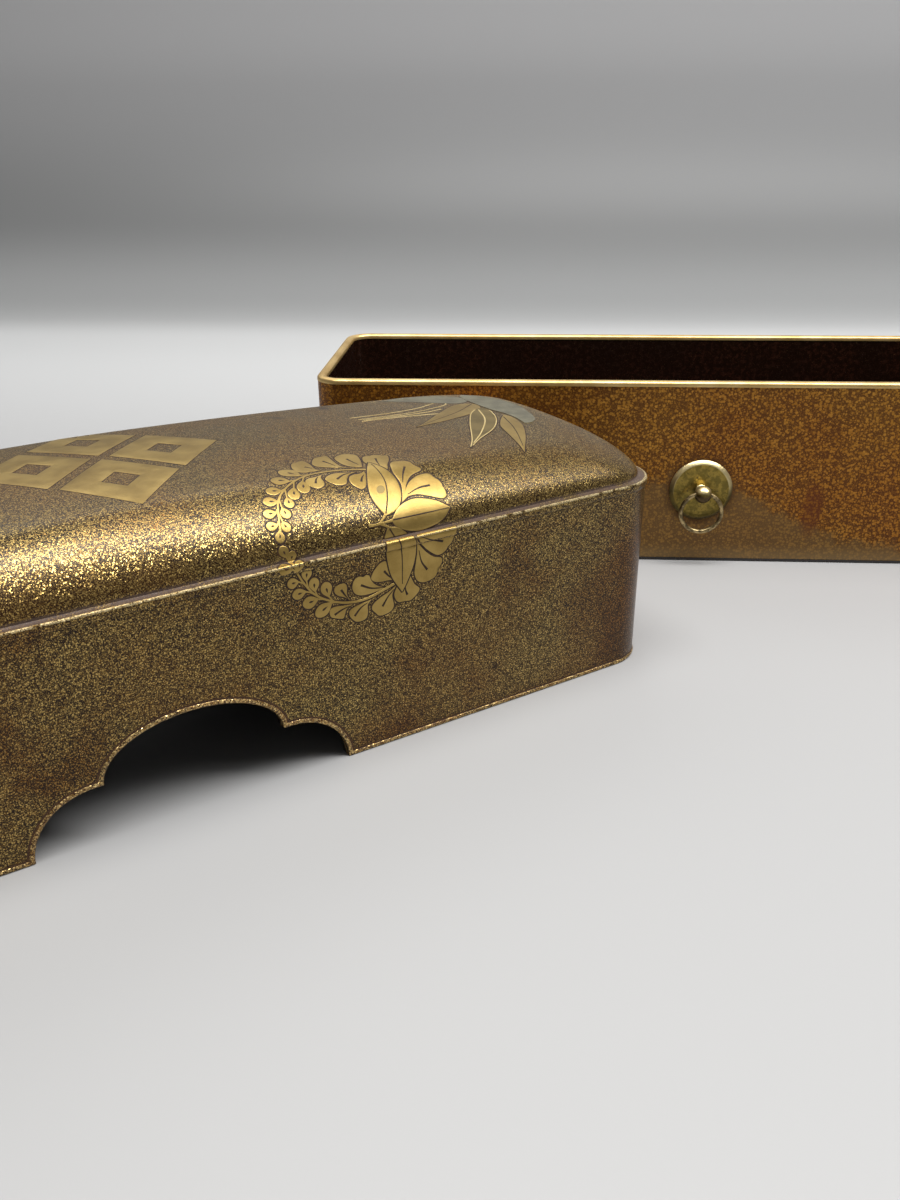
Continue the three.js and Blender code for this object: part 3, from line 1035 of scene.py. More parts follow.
def boreEye(stud, matrix):
    # a hole along X through the ball, its lip opened out in two steps
    radius, flare = fitting["eyeRadius"], fitting["eyeFlare"]
    reach, lip = fitting["headRadius"] + 1.0, fitting["headRadius"] * 0.9
    half = [(0.0, reach), (radius + flare, reach), (radius + flare * 0.6, lip), (radius, lip - 0.5)]
    profile = [(width, -height) for width, height in half] + half[::-1]
    mesh = bpy.data.meshes.new("bore")
    work = bmesh.new()
    lay = Matrix.Translation((0, 0, fitting["eyeReach"])) @ Matrix.Rotation(math.pi / 2, 4, "Y")
    turnProfile(work, profile, fitting["eyeSteps"], False, lay)
    bmesh.ops.remove_doubles(work, verts=work.verts, dist=samePoint / 2)
    bmesh.ops.scale(work, vec=(mm, mm, mm), verts=work.verts)
    work.to_mesh(mesh)
    work.free()
    drill = bpy.data.objects.new("bore", mesh)
    bpy.context.scene.collection.objects.link(drill)
    drill.matrix_world = matrix
    cut = stud.modifiers.new("eye", "BOOLEAN")
    cut.operation, cut.object, cut.solver = "DIFFERENCE", drill, "EXACT"
    bpy.context.view_layer.update()
    bored = stud.evaluated_get(bpy.context.evaluated_depsgraph_get())
    cutMesh = bpy.data.meshes.new_from_object(bored)
    stud.modifiers.clear()
    stud.data = cutMesh
    stud.data.shade_smooth()
    stud.data.set_sharp_from_angle(angle=math.radians(40))  # the eye's lip stays sharp
    bpy.data.objects.remove(drill)


# Crests, drawn flat: the first two numbers are a place on the surface and the third is how high
# a point stands on it. Each is a set of thin closed leaves of gold, with dark lacquer round them.

gold = {
    "height": 0.045,
    "sink": 0.14,
    "edgeHeight": 0.018,
    "line": 0.3,  # width of the dark lacquer round a shape
    "lineHeight": 0.015,
    "lineEdgeHeight": 0.0075,
    "strokeHeight": 0.012,
    "strokeEdgeHeight": 0.006,
    # from the edge to the spine: how far in a ring lies, and its share of the full height
    "rings": ((0.0, 0.0), (0.06, 0.75), (0.2, 1.0), (0.6, 1.0)),
    # heights, from the ridge, at which a shape is bent to follow the cove and the moulding
    "bends": (1.2, 0.8, 0.4, 0.0, -0.08, -0.25, -0.6, -1.0, -1.4, -1.75, -1.92, -2.0),
}


def mirrored(spine, halfWidths):
    # a closed outline round a line of points, with the spine point that belongs to each of its own
    last = len(spine) - 1
    sides = []
    for index in range(last + 1):
        along = (spine[min(index + 1, last)] - spine[max(index - 1, 0)]).normalized()
        sides.append(sideOf(along) * halfWidths[index])
    right = [spine[index] - sides[index] for index in range(last + 1)]
    left = [spine[index] + sides[index] for index in range(last, -1, -1)]
    return right + left, list(spine) + list(reversed(spine))


def petalForm(base, tip, halfWidth, widest=0.66, foot=1.2, steps=22):
    # narrow at its foot and round at its end
    base, tip = Vector(base), Vector(tip)
    along = (tip - base).normalized()
    power = math.log(0.5) / math.log(widest)
    spine, halfWidths = [], []
    for step in range(steps + 1):
        share = (1 - math.cos(math.pi * step / steps)) / 2
        spine.append(base.lerp(tip, share))
        swell = max(math.sin(math.pi * share ** power), 0.0)
        halfWidths.append(halfWidth * swell ** (foot + (0.5 - foot) * share ** 0.7))
    outline, centre = mirrored(spine, halfWidths)
    spineEnd = base.lerp(tip, 0.8)
    limit = (spineEnd - base).dot(along)
    return outline, [
        point if (point - base).dot(along) < limit else spineEnd for point in centre
    ]


def bandForm(points, halfWidths):
    return mirrored([Vector(point) for point in points], halfWidths)


def smoothLine(points, count):
    # count points, evenly apart, on a smooth curve through the given ones, which is worked out in
    # eight steps from each to the next
    points = [Vector(point) for point in points]
    ends = [points[0] * 2 - points[1]] + points + [points[-1] * 2 - points[-2]]
    line = []
    for first, second, third, fourth in zip(ends, ends[1:], ends[2:], ends[3:]):
        for share in np.linspace(0, 1, 9)[:-1]:
            square = first * 2 - second * 5 + third * 4 - fourth
            cube = second * 3 - first - third * 3 + fourth
            line.append((
                second * 2 + (third - first) * share + square * share ** 2 + cube * share ** 3
            ) / 2)
    line.append(points[-1])
    run = np.concatenate(([0.0], np.cumsum([(b - a).length for a, b in zip(line, line[1:])])))
    at = np.linspace(0, run[-1], count)
    return [Vector(pair) for pair in zip(*(np.interp(at, run, values) for values in zip(*line)))]


def sidesForm(left, right, count=30):
    # a shape between two smooth sides that share their first and last points
    left, right = smoothLine(left, count), smoothLine(right, count)
    spine = [(one + other) / 2 for one, other in zip(left, right)]
    return right + left[::-1], spine + spine[::-1]


def lineForm(points, halfWidth, count=24, taper=0.5):
    # a drawn line, thinner towards its end
    halfWidths = [halfWidth * (1 - taper * step / (count - 1)) for step in range(count)]
    return mirrored(smoothLine(points, count), halfWidths)


def widened(outline, grow):
    # the outline moved outward by grow
    count = len(outline)
    moved = []
    for index in range(count):
        before = outline[index] - outline[index - 1]
        after = outline[(index + 1) % count] - outline[index]
        along = before.normalized() + after.normalized()
        if along.length < 1e-6:
            along = sideOf(after if after.length > before.length else before) * -1
        moved.append(outline[index] - sideOf(along.normalized()) * grow)
    return moved


def layForm(work, outline, spine, base, height, edge, slotIndex=0):
    # a thin closed leaf of gold, lower round its edge
    def ring(share, lift):
        return [(*point.lerp(middle, share), base + lift) for point, middle in zip(outline, spine)]
    rings = [ring(1.0, height)]
    for share, full in reversed(gold["rings"]):
        rings.append(ring(share, edge + (height - edge) * full))
    rings += [ring(0.0, -gold["sink"]), ring(1.0, -gold["sink"])]
    joinRings(work, rings, slotOf=lambda level: slotIndex)


class Crest:
    # gold shapes and the dark lacquer round them, gathered flat before they are laid on the lid
    def __init__(self):
        self.gold, self.dark = bmesh.new(), bmesh.new()

    def shape(self, form, layer=0.0, line=None, slotIndex=0):
        outline, spine = form
        line = gold["line"] if line is None else line
        if line:
            wide = widened(outline, line)
            layForm(self.dark, wide, spine, layer, gold["lineHeight"], gold["lineEdgeHeight"])
        base = layer + gold["lineHeight"]
        layForm(self.gold, outline, spine, base, gold["height"], gold["edgeHeight"], slotIndex)

    def stroke(self, form, layer=0.0):
        base = layer + gold["lineHeight"] + gold["height"]
        layForm(self.dark, *form, base, gold["strokeHeight"], gold["strokeEdgeHeight"])

    def lay(self, work, flat, surface, turned, above=None, below=None):
        # copies the flat shapes onto the lid, cut off above or below a line of their own plane
        part = flat.copy()
        bmesh.ops.remove_doubles(part, verts=part.verts, dist=samePoint)

        def cut(level, way, clear):
            return bmesh.ops.bisect_plane(
                part, geom=part.verts[:] + part.edges[:] + part.faces[:], dist=noLength,
                plane_co=(0, level, 0), plane_no=(0, way, 0), clear_outer=clear,
            )["geom_cut"]

        for level in gold["bends"] if surface is onFront else ():
            cut(level, 1, False)
        for limit, way in ((above, -1), (below, 1)):
            if limit is not None:
                opened = cut(limit, way, True)
                edges = [item for item in opened if isinstance(item, bmesh.types.BMEdge)]
                bmesh.ops.holes_fill(part, edges=edges, sides=0)
        laid = {}
        for vertex in part.verts:
            point = surface(*vertex.co)
            laid[vertex] = work.verts.new((-point.x, -point.y, point.z) if turned else point)
        for face in part.faces:
            copied = work.faces.new([laid[vertex] for vertex in face.verts])
            copied.material_index = face.material_index
        part.free()

    def pieces(self, name, goldMaterials, darkMaterial, parts):
        # parts: surface, turned, above, below
        for kind, flat, slotName, materials in (
            ("gold", self.gold, "gilt_edging", goldMaterials),
            ("ground", self.dark, "black_lacquer", [darkMaterial]),
        ):
            def build(work):
                for part in parts:
                    self.lay(work, flat, *part)
            newPiece(
                "%s_%s" % (name, kind), "lid", lidMatrix, materials, build, inMesh=True,
            )
            flat.free()


def yFromFront(x, y, lift):
    return onTop(x, y - lidForm["halfWidth"], lift)


# Crest of a ring of wisteria. Its plane is x along the lid and up from the ridge.

wisteria = {
    "stems": (
        ((48.2, 18.4), (46, 19.1), (42, 20.1), (38, 20.5), (34, 20.1), (30.5, 18.7),
         (27.5, 16.7), (25.2, 14.2), (23.9, 10.8), (23.1, 7.4)),
        ((47.3, -9.5), (44.5, -10.3), (41, -11.3), (38, -11.6), (34.5, -11.1), (31, -9.7),
         (28, -7.6), (26, -4.9), (24.6, -2.2), (23.7, 0.2)),
    ),
    "stem": {"halfWidth": 0.3, "taper": 0.35, "layer": 0.012, "line": 0.2},
    "stalk": {
        "halfWidths": (0.2, 0.17, 0.18), "reach": 0.12, "layer": 0.006, "line": 0.14,
        "before": 3,  # steps along the stem from where it is nearest to the petal
    },
    # half width and taper of the dark lines drawn on the gold
    "slit": (0.27, 0.7),
    "midrib": (0.17, 0.4),
    "smallSlit": (0.28, 0.62),  # from where to where on a small petal
    "smallForm": (0.6, 0.85),
    "slitForm": (0.7, 0.9),
    "slitLeast": 0.12,
    "slitGain": 0.08,  # of the petal's half width
    "layers": {"fan": 0.01, "leaves": 0.065, "worn": 0.07, "shoots": 0.09, "stub": 0.1},
    "shootHalfWidths": (0.26, 0.24, 0.32),
    "stubHalfWidths": (0.36, 0.26, 0.34),
    # large petals of the racemes: left and right side from the foot to the middle of the end, slit
    "large": (
        (((47.3, 19.9), (46.0, 20.3), (44.7, 21.5), (43.9, 23.4), (43.9, 26.4), (45.0, 27.6),
          (46.7, 28.1)),
         ((47.3, 19.9), (48.5, 22.8), (49.3, 26.2), (48.4, 27.5), (46.7, 28.1)),
         ((47.1, 21.2), (46.6, 23.0), (46.2, 25.2))),
        (((44.8, 20.2), (42.6, 21.4), (40.4, 22.4), (38.4, 23.7), (38.0, 25.4), (39.0, 27.3),
          (40.0, 28.4), (41.2, 28.5)),
         ((44.8, 20.2), (43.2, 21.8), (42.9, 25.0), (43.1, 28.3), (42.6, 28.7), (41.2, 28.5)),
         ((42.2, 22.6), (41.6, 24.2), (40.8, 26.0))),
        (((38.2, 21.4), (36.4, 21.7), (34.6, 21.7), (33.2, 22.8), (33.1, 25.0), (34.0, 27.2),
          (35.3, 27.4)),
         ((38.2, 21.4), (37.4, 22.7), (37.5, 25.4), (37.2, 27.5), (36.6, 28.1), (35.3, 27.4)),
         ((36.9, 23.1), (36.4, 23.8), (35.8, 24.5))),
        (((46.8, 18.1), (46.6, 16.5), (45.6, 14.6), (44.7, 13.4), (43.6, 13.1)),
         ((46.8, 18.1), (45.4, 17.6), (44.0, 17.6), (42.8, 17.1), (42.2, 15.9), (42.5, 14.5),
          (43.6, 13.1)),
         ((46.2, 17.0), (45.4, 16.3), (44.6, 15.1))),
        (((45.2, 18.5), (43.2, 17.9), (42.0, 16.7), (41.3, 15.5), (40.4, 15.2), (39.0, 15.5),
          (37.6, 16.8)),
         ((45.2, 18.5), (43.3, 18.6), (41.8, 19.0), (40.2, 19.2), (38.6, 18.8), (37.4, 17.9),
          (37.6, 16.8)),
         ((43.8, 18.4), (41.8, 18.1), (39.8, 17.1))),
        (((37.4, 19.5), (36.7, 18.4), (36.7, 17.0), (36.2, 15.9), (34.6, 15.5), (33.3, 16.4)),
         ((37.4, 19.5), (35.8, 19.1), (34.2, 19.0), (33.1, 18.4), (32.9, 17.4), (33.3, 16.4)),
         ((36.2, 18.9), (35.4, 18.1), (34.8, 17.0))),
        (((46.9, -9.0), (45.3, -8.6), (43.4, -8.5), (41.8, -8.1), (41.0, -7.2), (41.5, -5.9),
          (42.2, -5.1)),
         ((46.9, -9.0), (46.0, -7.0), (45.3, -5.2), (44.6, -4.1), (43.5, -4.1), (42.7, -4.6),
          (42.2, -5.1)),
         ((46.4, -8.8), (45.2, -7.6), (44.1, -6.2))),
        (((44.7, -10.1), (42.6, -10.4), (40.3, -10.6), (38.3, -10.4), (37.0, -9.6), (36.5, -8.2),
          (36.8, -6.9)),
         ((44.7, -10.1), (43.0, -9.5), (41.7, -8.6), (41.0, -7.6), (40.6, -6.5), (39.9, -6.1),
          (39.2, -6.4), (38.4, -6.1), (37.5, -6.2), (36.8, -6.9)),
         ((44.2, -10.0), (41.0, -9.4), (38.5, -8.1))),
        (((35.9, -10.9), (34.6, -9.9), (33.2, -9.2), (32.4, -8.2), (32.6, -7.1), (33.7, -6.7)),
         ((35.9, -10.9), (35.2, -9.4), (35.3, -7.7), (34.8, -6.8), (33.7, -6.7)),
         ((35.4, -10.4), (34.6, -9.2), (33.9, -8.0))),
        (((46.9, -10.2), (45.9, -12.2), (46.2, -14.6), (45.7, -15.7), (44.7, -16.2), (43.4, -16.4)),
         ((46.9, -10.2), (45.0, -11.3), (43.0, -12.1), (41.3, -13.2), (40.9, -14.3),
          (41.8, -15.5), (42.4, -16.2), (43.4, -16.4)),
         ((46.3, -11.0), (44.8, -12.4), (43.4, -14.3))),
        (((40.8, -12.0), (39.9, -13.1), (39.9, -14.6), (39.6, -15.8), (38.9, -16.3), (38.0, -16.4)),
         ((40.8, -12.0), (38.8, -12.3), (36.8, -12.7), (35.6, -13.4), (35.6, -14.5),
          (36.3, -15.6), (37.0, -16.2), (38.0, -16.4)),
         ((39.9, -12.5), (38.2, -13.3), (36.7, -14.8))),
        (((36.4, -11.9), (35.0, -12.7), (34.5, -13.8), (34.1, -14.6), (33.2, -14.5), (32.3, -14.1)),
         ((36.4, -11.9), (34.6, -11.8), (32.8, -11.5), (31.4, -11.7), (31.0, -12.7),
          (31.4, -13.7), (32.3, -14.1)),
         ((35.6, -12.2), (33.8, -12.6), (32.1, -13.3))),
    ),
    # small petals, above and below the upper stem and then above and below the lower one: foot,
    # end, half width
    "small": (
        (
            ((33.3, 20.4), (29.9, 24.7), 1.8), ((30.1, 19.0), (26.4, 21.0), 1.65),
            ((27.3, 16.6), (23.8, 17.4), 1.2), ((25.4, 14.0), (22.1, 14.8), 1.2),
            ((24.0, 11.6), (21.0, 11.7), 1.15), ((23.3, 8.9), (20.6, 8.9), 1.05),
            ((23.1, 7.9), (22.4, 5.2), 1.05),
            ((32.5, 18.7), (31.3, 14.9), 1.4), ((29.9, 17.1), (28.5, 13.8), 1.3),
            ((27.3, 14.9), (27.1, 12.0), 1.1), ((25.3, 12.7), (25.7, 9.8), 1.12),
            ((24.2, 9.7), (24.8, 7.0), 1.05),
        ),
        (
            ((31.1, -9.1), (30.3, -5.4), 1.28), ((28.1, -7.2), (27.9, -3.8), 1.15),
            ((26.3, -4.4), (26.7, -1.3), 1.12), ((24.4, -1.7), (25.6, 1.0), 0.95),
            ((23.7, 0.6), (24.6, 3.2), 0.97), ((23.1, 1.9), (22.4, 4.6), 1.08),
            ((31.9, -10.2), (27.9, -12.5), 1.45), ((28.9, -8.7), (25.2, -9.3), 1.38),
            ((26.3, -6.4), (23.1, -6.7), 1.22), ((24.9, -3.9), (22.2, -4.0), 1.18),
            ((23.7, -0.8), (20.6, -0.2), 1.45),
        ),
    ),
    # petals of the fan: left and right side from the foot to the middle of the end, slit
    "fan": (
        (((50.6, 17.5), (49.6, 19.8), (49.0, 21.9), (49.3, 23.4), (49.9, 24.6), (50.6, 25.0),
          (51.5, 24.8), (52.4, 25.0)),
         ((50.6, 17.5), (52.2, 17.4), (53.2, 19.2), (54.7, 21.2), (55.6, 23.2), (55.5, 23.8),
          (54.8, 23.9), (54.2, 24.6), (53.4, 25.0), (52.4, 25.0)),
         ((51.3, 19.4), (51.7, 21.3), (52.3, 23.0))),
        (((51.1, 8.0), (51.8, 9.4), (53.0, 12.2), (53.0, 14.7), (52.9, 16.0), (53.6, 18.7),
          (54.4, 19.7), (55.4, 20.1), (56.5, 19.9), (57.5, 19.7), (58.3, 19.1), (58.7, 18.4)),
         ((51.1, 8.0), (52.8, 9.9), (54.4, 12.4), (56.4, 14.2), (58.7, 15.0), (59.6, 15.3),
          (59.8, 15.9), (59.2, 16.7), (58.8, 17.5), (58.7, 18.4)),
         ((53.6, 12.8), (54.8, 15.0), (56.5, 17.3))),
        (((51.4, 8.2), (53.0, 10.5), (55.3, 12.7), (58.2, 14.0), (60.6, 14.0), (61.3, 13.3),
          (61.5, 12.6), (62.1, 11.9), (62.4, 11.1), (62.4, 10.3)),
         ((51.4, 8.2), (53.4, 9.2), (55.8, 9.2), (58.3, 8.3), (60.8, 7.2), (61.9, 7.3),
          (62.5, 7.9), (62.5, 8.8), (62.2, 9.5), (62.4, 10.3)),
         ((53.4, 9.7), (56.6, 10.7), (59.5, 10.8))),
        (((52.2, -0.1), (53.4, 0.7), (57.0, 0.9), (61.0, 0.9), (62.2, 0.3), (62.0, -0.8),
          (61.6, -2.2)),
         ((52.2, -0.1), (53.2, -1.9), (55.2, -4.1), (57.5, -5.6), (59.3, -5.1), (60.0, -4.2),
          (60.9, -3.5), (61.6, -2.2)),
         ((53.3, -0.4), (56.0, -1.7), (58.8, -2.7))),
        (((51.9, -0.4), (52.8, -2.1), (54.4, -4.1), (56.3, -5.7), (58.1, -6.3), (58.5, -7.0),
          (58.3, -7.8), (57.5, -8.4), (57.1, -8.9)),
         ((51.9, -0.4), (52.3, -3.2), (51.9, -6.1), (51.5, -8.5), (52.2, -10.4), (54.0, -11.2),
          (56.2, -10.8), (57.0, -10.1), (57.1, -8.9)),
         ((52.7, -3.4), (53.3, -6.2), (54.7, -8.4))),
        (((49.4, -6.5), (50.8, -9.7), (51.5, -11.1), (52.6, -12.2), (52.5, -13.0), (51.5, -13.9),
          (50.4, -14.6), (49.2, -14.5)),
         ((49.4, -6.5), (47.2, -10.4), (46.4, -12.2), (46.8, -13.7), (47.6, -14.4),
          (48.4, -14.3), (49.2, -14.5)),
         ((49.1, -10.6), (49.2, -12.0), (49.6, -13.1))),
    ),
    # leaves, in the same way, with their midribs
    "leaves": (
        (((46.4, 6.0), (45.4, 8.5), (45.0, 11.6), (46.0, 14.9), (47.8, 18.6), (49.7, 21.5)),
         ((46.4, 6.0), (48.5, 6.4), (50.4, 7.6), (51.9, 10.1), (52.5, 13.6), (51.9, 17.3),
          (49.7, 21.5)),
         ((46.7, 6.5), (48.6, 10.3), (49.85, 14.5), (49.8, 20.4))),
        (((46.3, 3.7), (49.0, 2.9), (51.3, 0.2), (52.0, -2.5), (51.4, -6.0), (49.8, -9.6),
          (48.3, -12.1)),
         ((46.3, 3.7), (45.2, 1.6), (44.8, -1.5), (45.1, -4.9), (46.0, -8.2), (48.3, -12.1)),
         ((46.6, 3.3), (47.8, 0.2), (48.5, -3.5), (48.4, -10.2))),
        (((47.6, 4.9), (50.2, 7.3), (54.3, 8.4), (59.0, 7.1), (62.2, 4.9)),
         ((47.6, 4.9), (48.1, 3.6), (51.2, 1.75), (54.2, 1.3), (57.4, 1.75), (60.3, 3.1),
          (62.2, 4.9)),
         ((47.9, 4.85), (55.0, 4.8), (61.8, 4.8))),
    ),
    "shoots": (
        ((44.8, 4.8), (45.5, 5.4), (46.5, 6.2)),
        ((44.8, 4.6), (46.2, 4.7), (47.8, 4.8)),
        ((44.8, 4.5), (45.6, 4.1), (46.5, 3.6)),
    ),
    "stub": ((42.0, 4.7), (43.4, 4.6), (45.2, 4.7)),
    "worn": ((46.9, 11.3), (48.7, 12.9), 0.95),
    "coveTop": 1.3,
    "mouldTop": 0.4,
}


def slitPetals(crest, petals, layer):
    halfWidth, taper = wisteria["slit"]
    for left, right, slit in petals:
        crest.shape(sidesForm(left, right, 34), layer)
        crest.stroke(lineForm(slit[::-1], halfWidth, 16, taper), layer)


def drawRaceme():
    crest = Crest()
    stem, stalk, steps = wisteria["stem"], wisteria["stalk"], 60
    slitPetals(crest, wisteria["large"], 0.0)
    for points, petals in zip(wisteria["stems"], wisteria["small"]):
        line = smoothLine(points, steps)
        form = lineForm(points, stem["halfWidth"], steps, stem["taper"])
        crest.shape(form, stem["layer"], stem["line"])
        for base, tip, half in petals:
            base, tip = Vector(base), Vector(tip)
            crest.shape(petalForm(base, tip, half, *wisteria["smallForm"]))
            start, end = (base.lerp(tip, share) for share in wisteria["smallSlit"])
            slit = wisteria["slitLeast"] + wisteria["slitGain"] * half
            crest.stroke(petalForm(start, end, slit, *wisteria["slitForm"], steps=10))
            near = min(range(steps), key=lambda step: (line[step] - base).length)
            foot = line[max(near - stalk["before"], 0)]
            path = [foot, foot.lerp(base, 0.5), base.lerp(tip, stalk["reach"])]
            crest.shape(bandForm(path, stalk["halfWidths"]), stalk["layer"], stalk["line"])
    return crest


def drawFan():
    crest = Crest()
    look, layers, line = wisteria, wisteria["layers"], wisteria["stem"]["line"]
    slitPetals(crest, look["fan"], layers["fan"])
    halfWidth, taper = look["midrib"]
    for left, right, midrib in look["leaves"]:
        crest.shape(sidesForm(left, right), layers["leaves"])
        crest.stroke(lineForm(midrib, halfWidth, 30, taper), layers["leaves"])
    for points in look["shoots"]:
        crest.shape(bandForm(points, look["shootHalfWidths"]), layers["shoots"], line)
    crest.shape(bandForm(look["stub"], look["stubHalfWidths"]), layers["stub"], line)
    base, tip, half = look["worn"]
    crest.shape(petalForm(base, tip, half, 0.5, 0.5), layers["worn"], 0, 1)
    return crest


# Crest of four lozenges. Its plane is the lid's own, across from the front edge.

lozenges = {
    "centre": (-0.2, 43.7),
    "spread": (14.0, 15.6),
    "half": (12.1, 14.1),
    "holeHalf": (3.95, 4.5),
    "line": 0.2,
    "bevel": 0.12,
    "innerRings": (2.2, 2.0),  # how far in from the outer edge, and out from the hole's
    "sideSteps": 8,
}


def drawLozenges():
    crest = Crest()
    look = lozenges

    def loop(centre, half, grow):
        # grow moves the sides out, whose distance from the middle is area over side
        slant = math.hypot(*half)
        scale = 1 + grow * slant / (half[0] * half[1])
        corners = [Vector(p) for p in ((half[0], 0), (0, half[1]), (-half[0], 0), (0, -half[1]))]
        points = []
        for index, corner in enumerate(corners):
            after = corners[(index + 1) % 4]
            for step in range(look["sideSteps"]):
                points.append(Vector(centre) + corner.lerp(after, step / look["sideSteps"]) * scale)
        return points

    def frame(work, centre, grow, base, height, edge):
        bevel, sink, (outer, inner) = look["bevel"], -gold["sink"], look["innerRings"]
        half, hole = look["half"], look["holeHalf"]
        rings = []
        for side, shift, lift in (
            (half, grow, sink), (half, grow, edge), (half, grow - bevel, height),
            (half, grow - outer, height), (hole, inner - grow, height),
            (hole, bevel - grow, height), (hole, -grow, edge), (hole, -grow, sink),
        ):
            rings.append([(p.x, p.y, base + lift) for p in loop(centre, side, shift)])
        joinRings(work, rings[::-1], loop=True)

    (middleX, middleY), (spreadX, spreadY) = look["centre"], look["spread"]
    for x, y in ((0, -1), (1, 0), (0, 1), (-1, 0)):
        centre = (middleX + x * spreadX, middleY + y * spreadY)
        frame(crest.dark, centre, look["line"], 0.0, gold["lineHeight"], gold["lineHeight"])
        frame(crest.gold, centre, 0.0, gold["lineHeight"], gold["height"], gold["edgeHeight"])
    return crest


# Crest of bamboo leaves under snow, in the same plane. Slots: 0 gold, 1 dulled gold, 2 pale gold
# line, 3 grey silver

bamboo = {
    # half width and taper of a line, and how high what it is drawn on lies
    "needle": (0.2, 0.4, -0.02),
    "paleRib": (0.2, 0.3, 0.035),
    "darkRib": (0.16, 0.5, 0.0),
    "paleEdge": 0.13,  # half width
    "leafStep": 0.02,  # each leaf lies this much higher than the one before
    "leafLine": 0.24,
    "snowLayer": 0.075,
    "snowLine": 0.16,
    # left and right side from the foot to the tip, midrib, slot, whether the midrib and the edges
    # are pale lines
    "leaves": (
        (((100.5, 54.0), (98.0, 52.0), (94.0, 52.6), (88.0, 58.0), (80.0, 66.0)),
         ((100.5, 54.0), (101.5, 60.0), (97.0, 66.0), (89.0, 68.5), (80.0, 66.0)),
         ((99.5, 55.0), (92.0, 61.0), (82.0, 65.6)), 3, False),
        (((99.3, 49.0), (99.4, 46.6), (96.5, 41.6), (93.0, 39.9), (83.0, 36.3), (76.0, 34.6),
          (72.3, 33.6)),
         ((99.3, 49.0), (97.3, 50.6), (94.0, 50.2), (90.5, 48.0), (82.0, 41.0), (76.0, 36.1),
          (72.3, 33.6)),
         ((98.6, 49.2), (90.0, 42.6), (80.0, 37.4), (75.0, 35.0)), 0, False),
        (((98.3, 44.0), (99.0, 41.5), (95.9, 33.4), (90.0, 26.0), (82.0, 20.4), (76.2, 15.7)),
         ((98.3, 44.0), (96.0, 43.2), (91.7, 39.3), (86.0, 31.0), (80.0, 20.8), (76.2, 15.7)),
         ((96.4, 42.5), (92.2, 33.3), (85.2, 24.5), (78.9, 18.4)), 1, True),
        (((99.4, 35.5), (100.3, 33.0), (98.8, 26.5), (94.1, 18.6), (88.1, 10.8)),
         ((99.4, 35.5), (96.0, 31.8), (92.7, 27.0), (90.6, 20.0), (88.1, 10.8)),
         ((98.2, 33.8), (94.7, 24.0), (89.4, 13.2)), 0, False),
    ),
    "snow": (
        ((100.2, 27.4), (102.6, 27.4), (105.4, 30.0), (107.6, 36.0), (109.3, 42.0),
         (109.6, 50.0), (107.8, 58.5), (104.5, 63.5)),
        ((100.2, 27.4), (100.9, 32.0), (100.6, 37.0), (99.6, 42.0), (99.7, 47.0), (100.4, 54.0),
         (102.0, 60.0), (104.5, 63.5)),
    ),
    "needles": (
        ((93.2, 54.0), (92.4, 52.2), (89.0, 50.2), (80.0, 47.2), (72.0, 46.3), (63.0, 45.9)),
        ((90.2, 55.0), (86.0, 52.6), (82.0, 50.8), (74.0, 49.1), (62.0, 48.4)),
        ((88.0, 47.4), (83.0, 45.9), (76.0, 45.2), (64.0, 44.9)),
        ((84.5, 43.1), (80.0, 43.6), (74.0, 43.9), (63.0, 44.1)),
    ),
}


def drawBamboo():
    crest = Crest()
    look = bamboo
    halfWidth, taper, lift = look["needle"]
    for points in look["needles"]:
        crest.shape(lineForm(points, halfWidth, 40, taper), lift, 0, 2)
    steps = 36
    for index, (left, right, midrib, slotIndex, lined) in enumerate(look["leaves"]):
        layer = look["leafStep"] * index
        form = sidesForm(left, right, steps)
        crest.shape(form, layer, look["leafLine"], slotIndex)
        halfWidth, taper, lift = look["paleRib" if lined else "darkRib"]
        rib = lineForm(midrib, halfWidth, steps, taper)
        if lined:
            crest.shape(rib, layer + lift, 0, 2)
            outline, spine = form
            for part in (range(3, steps - 1), range(steps + 2, 2 * steps - 3)):
                edge = [outline[step].lerp(spine[step], 0.06) for step in part]
                crest.shape(bandForm(edge, [look["paleEdge"]] * len(edge)), layer + lift, 0, 2)
        elif slotIndex == 0:
            crest.stroke(rib, layer + lift)
    crest.shape(sidesForm(*look["snow"], 40), look["snowLayer"], look["snowLine"], 3)
    return crest


# Materials. A size is that of a noise's lumps in millimetres, a range runs from none to all, a
# share is how much of a colour shows, and a gain is what a mask adds.

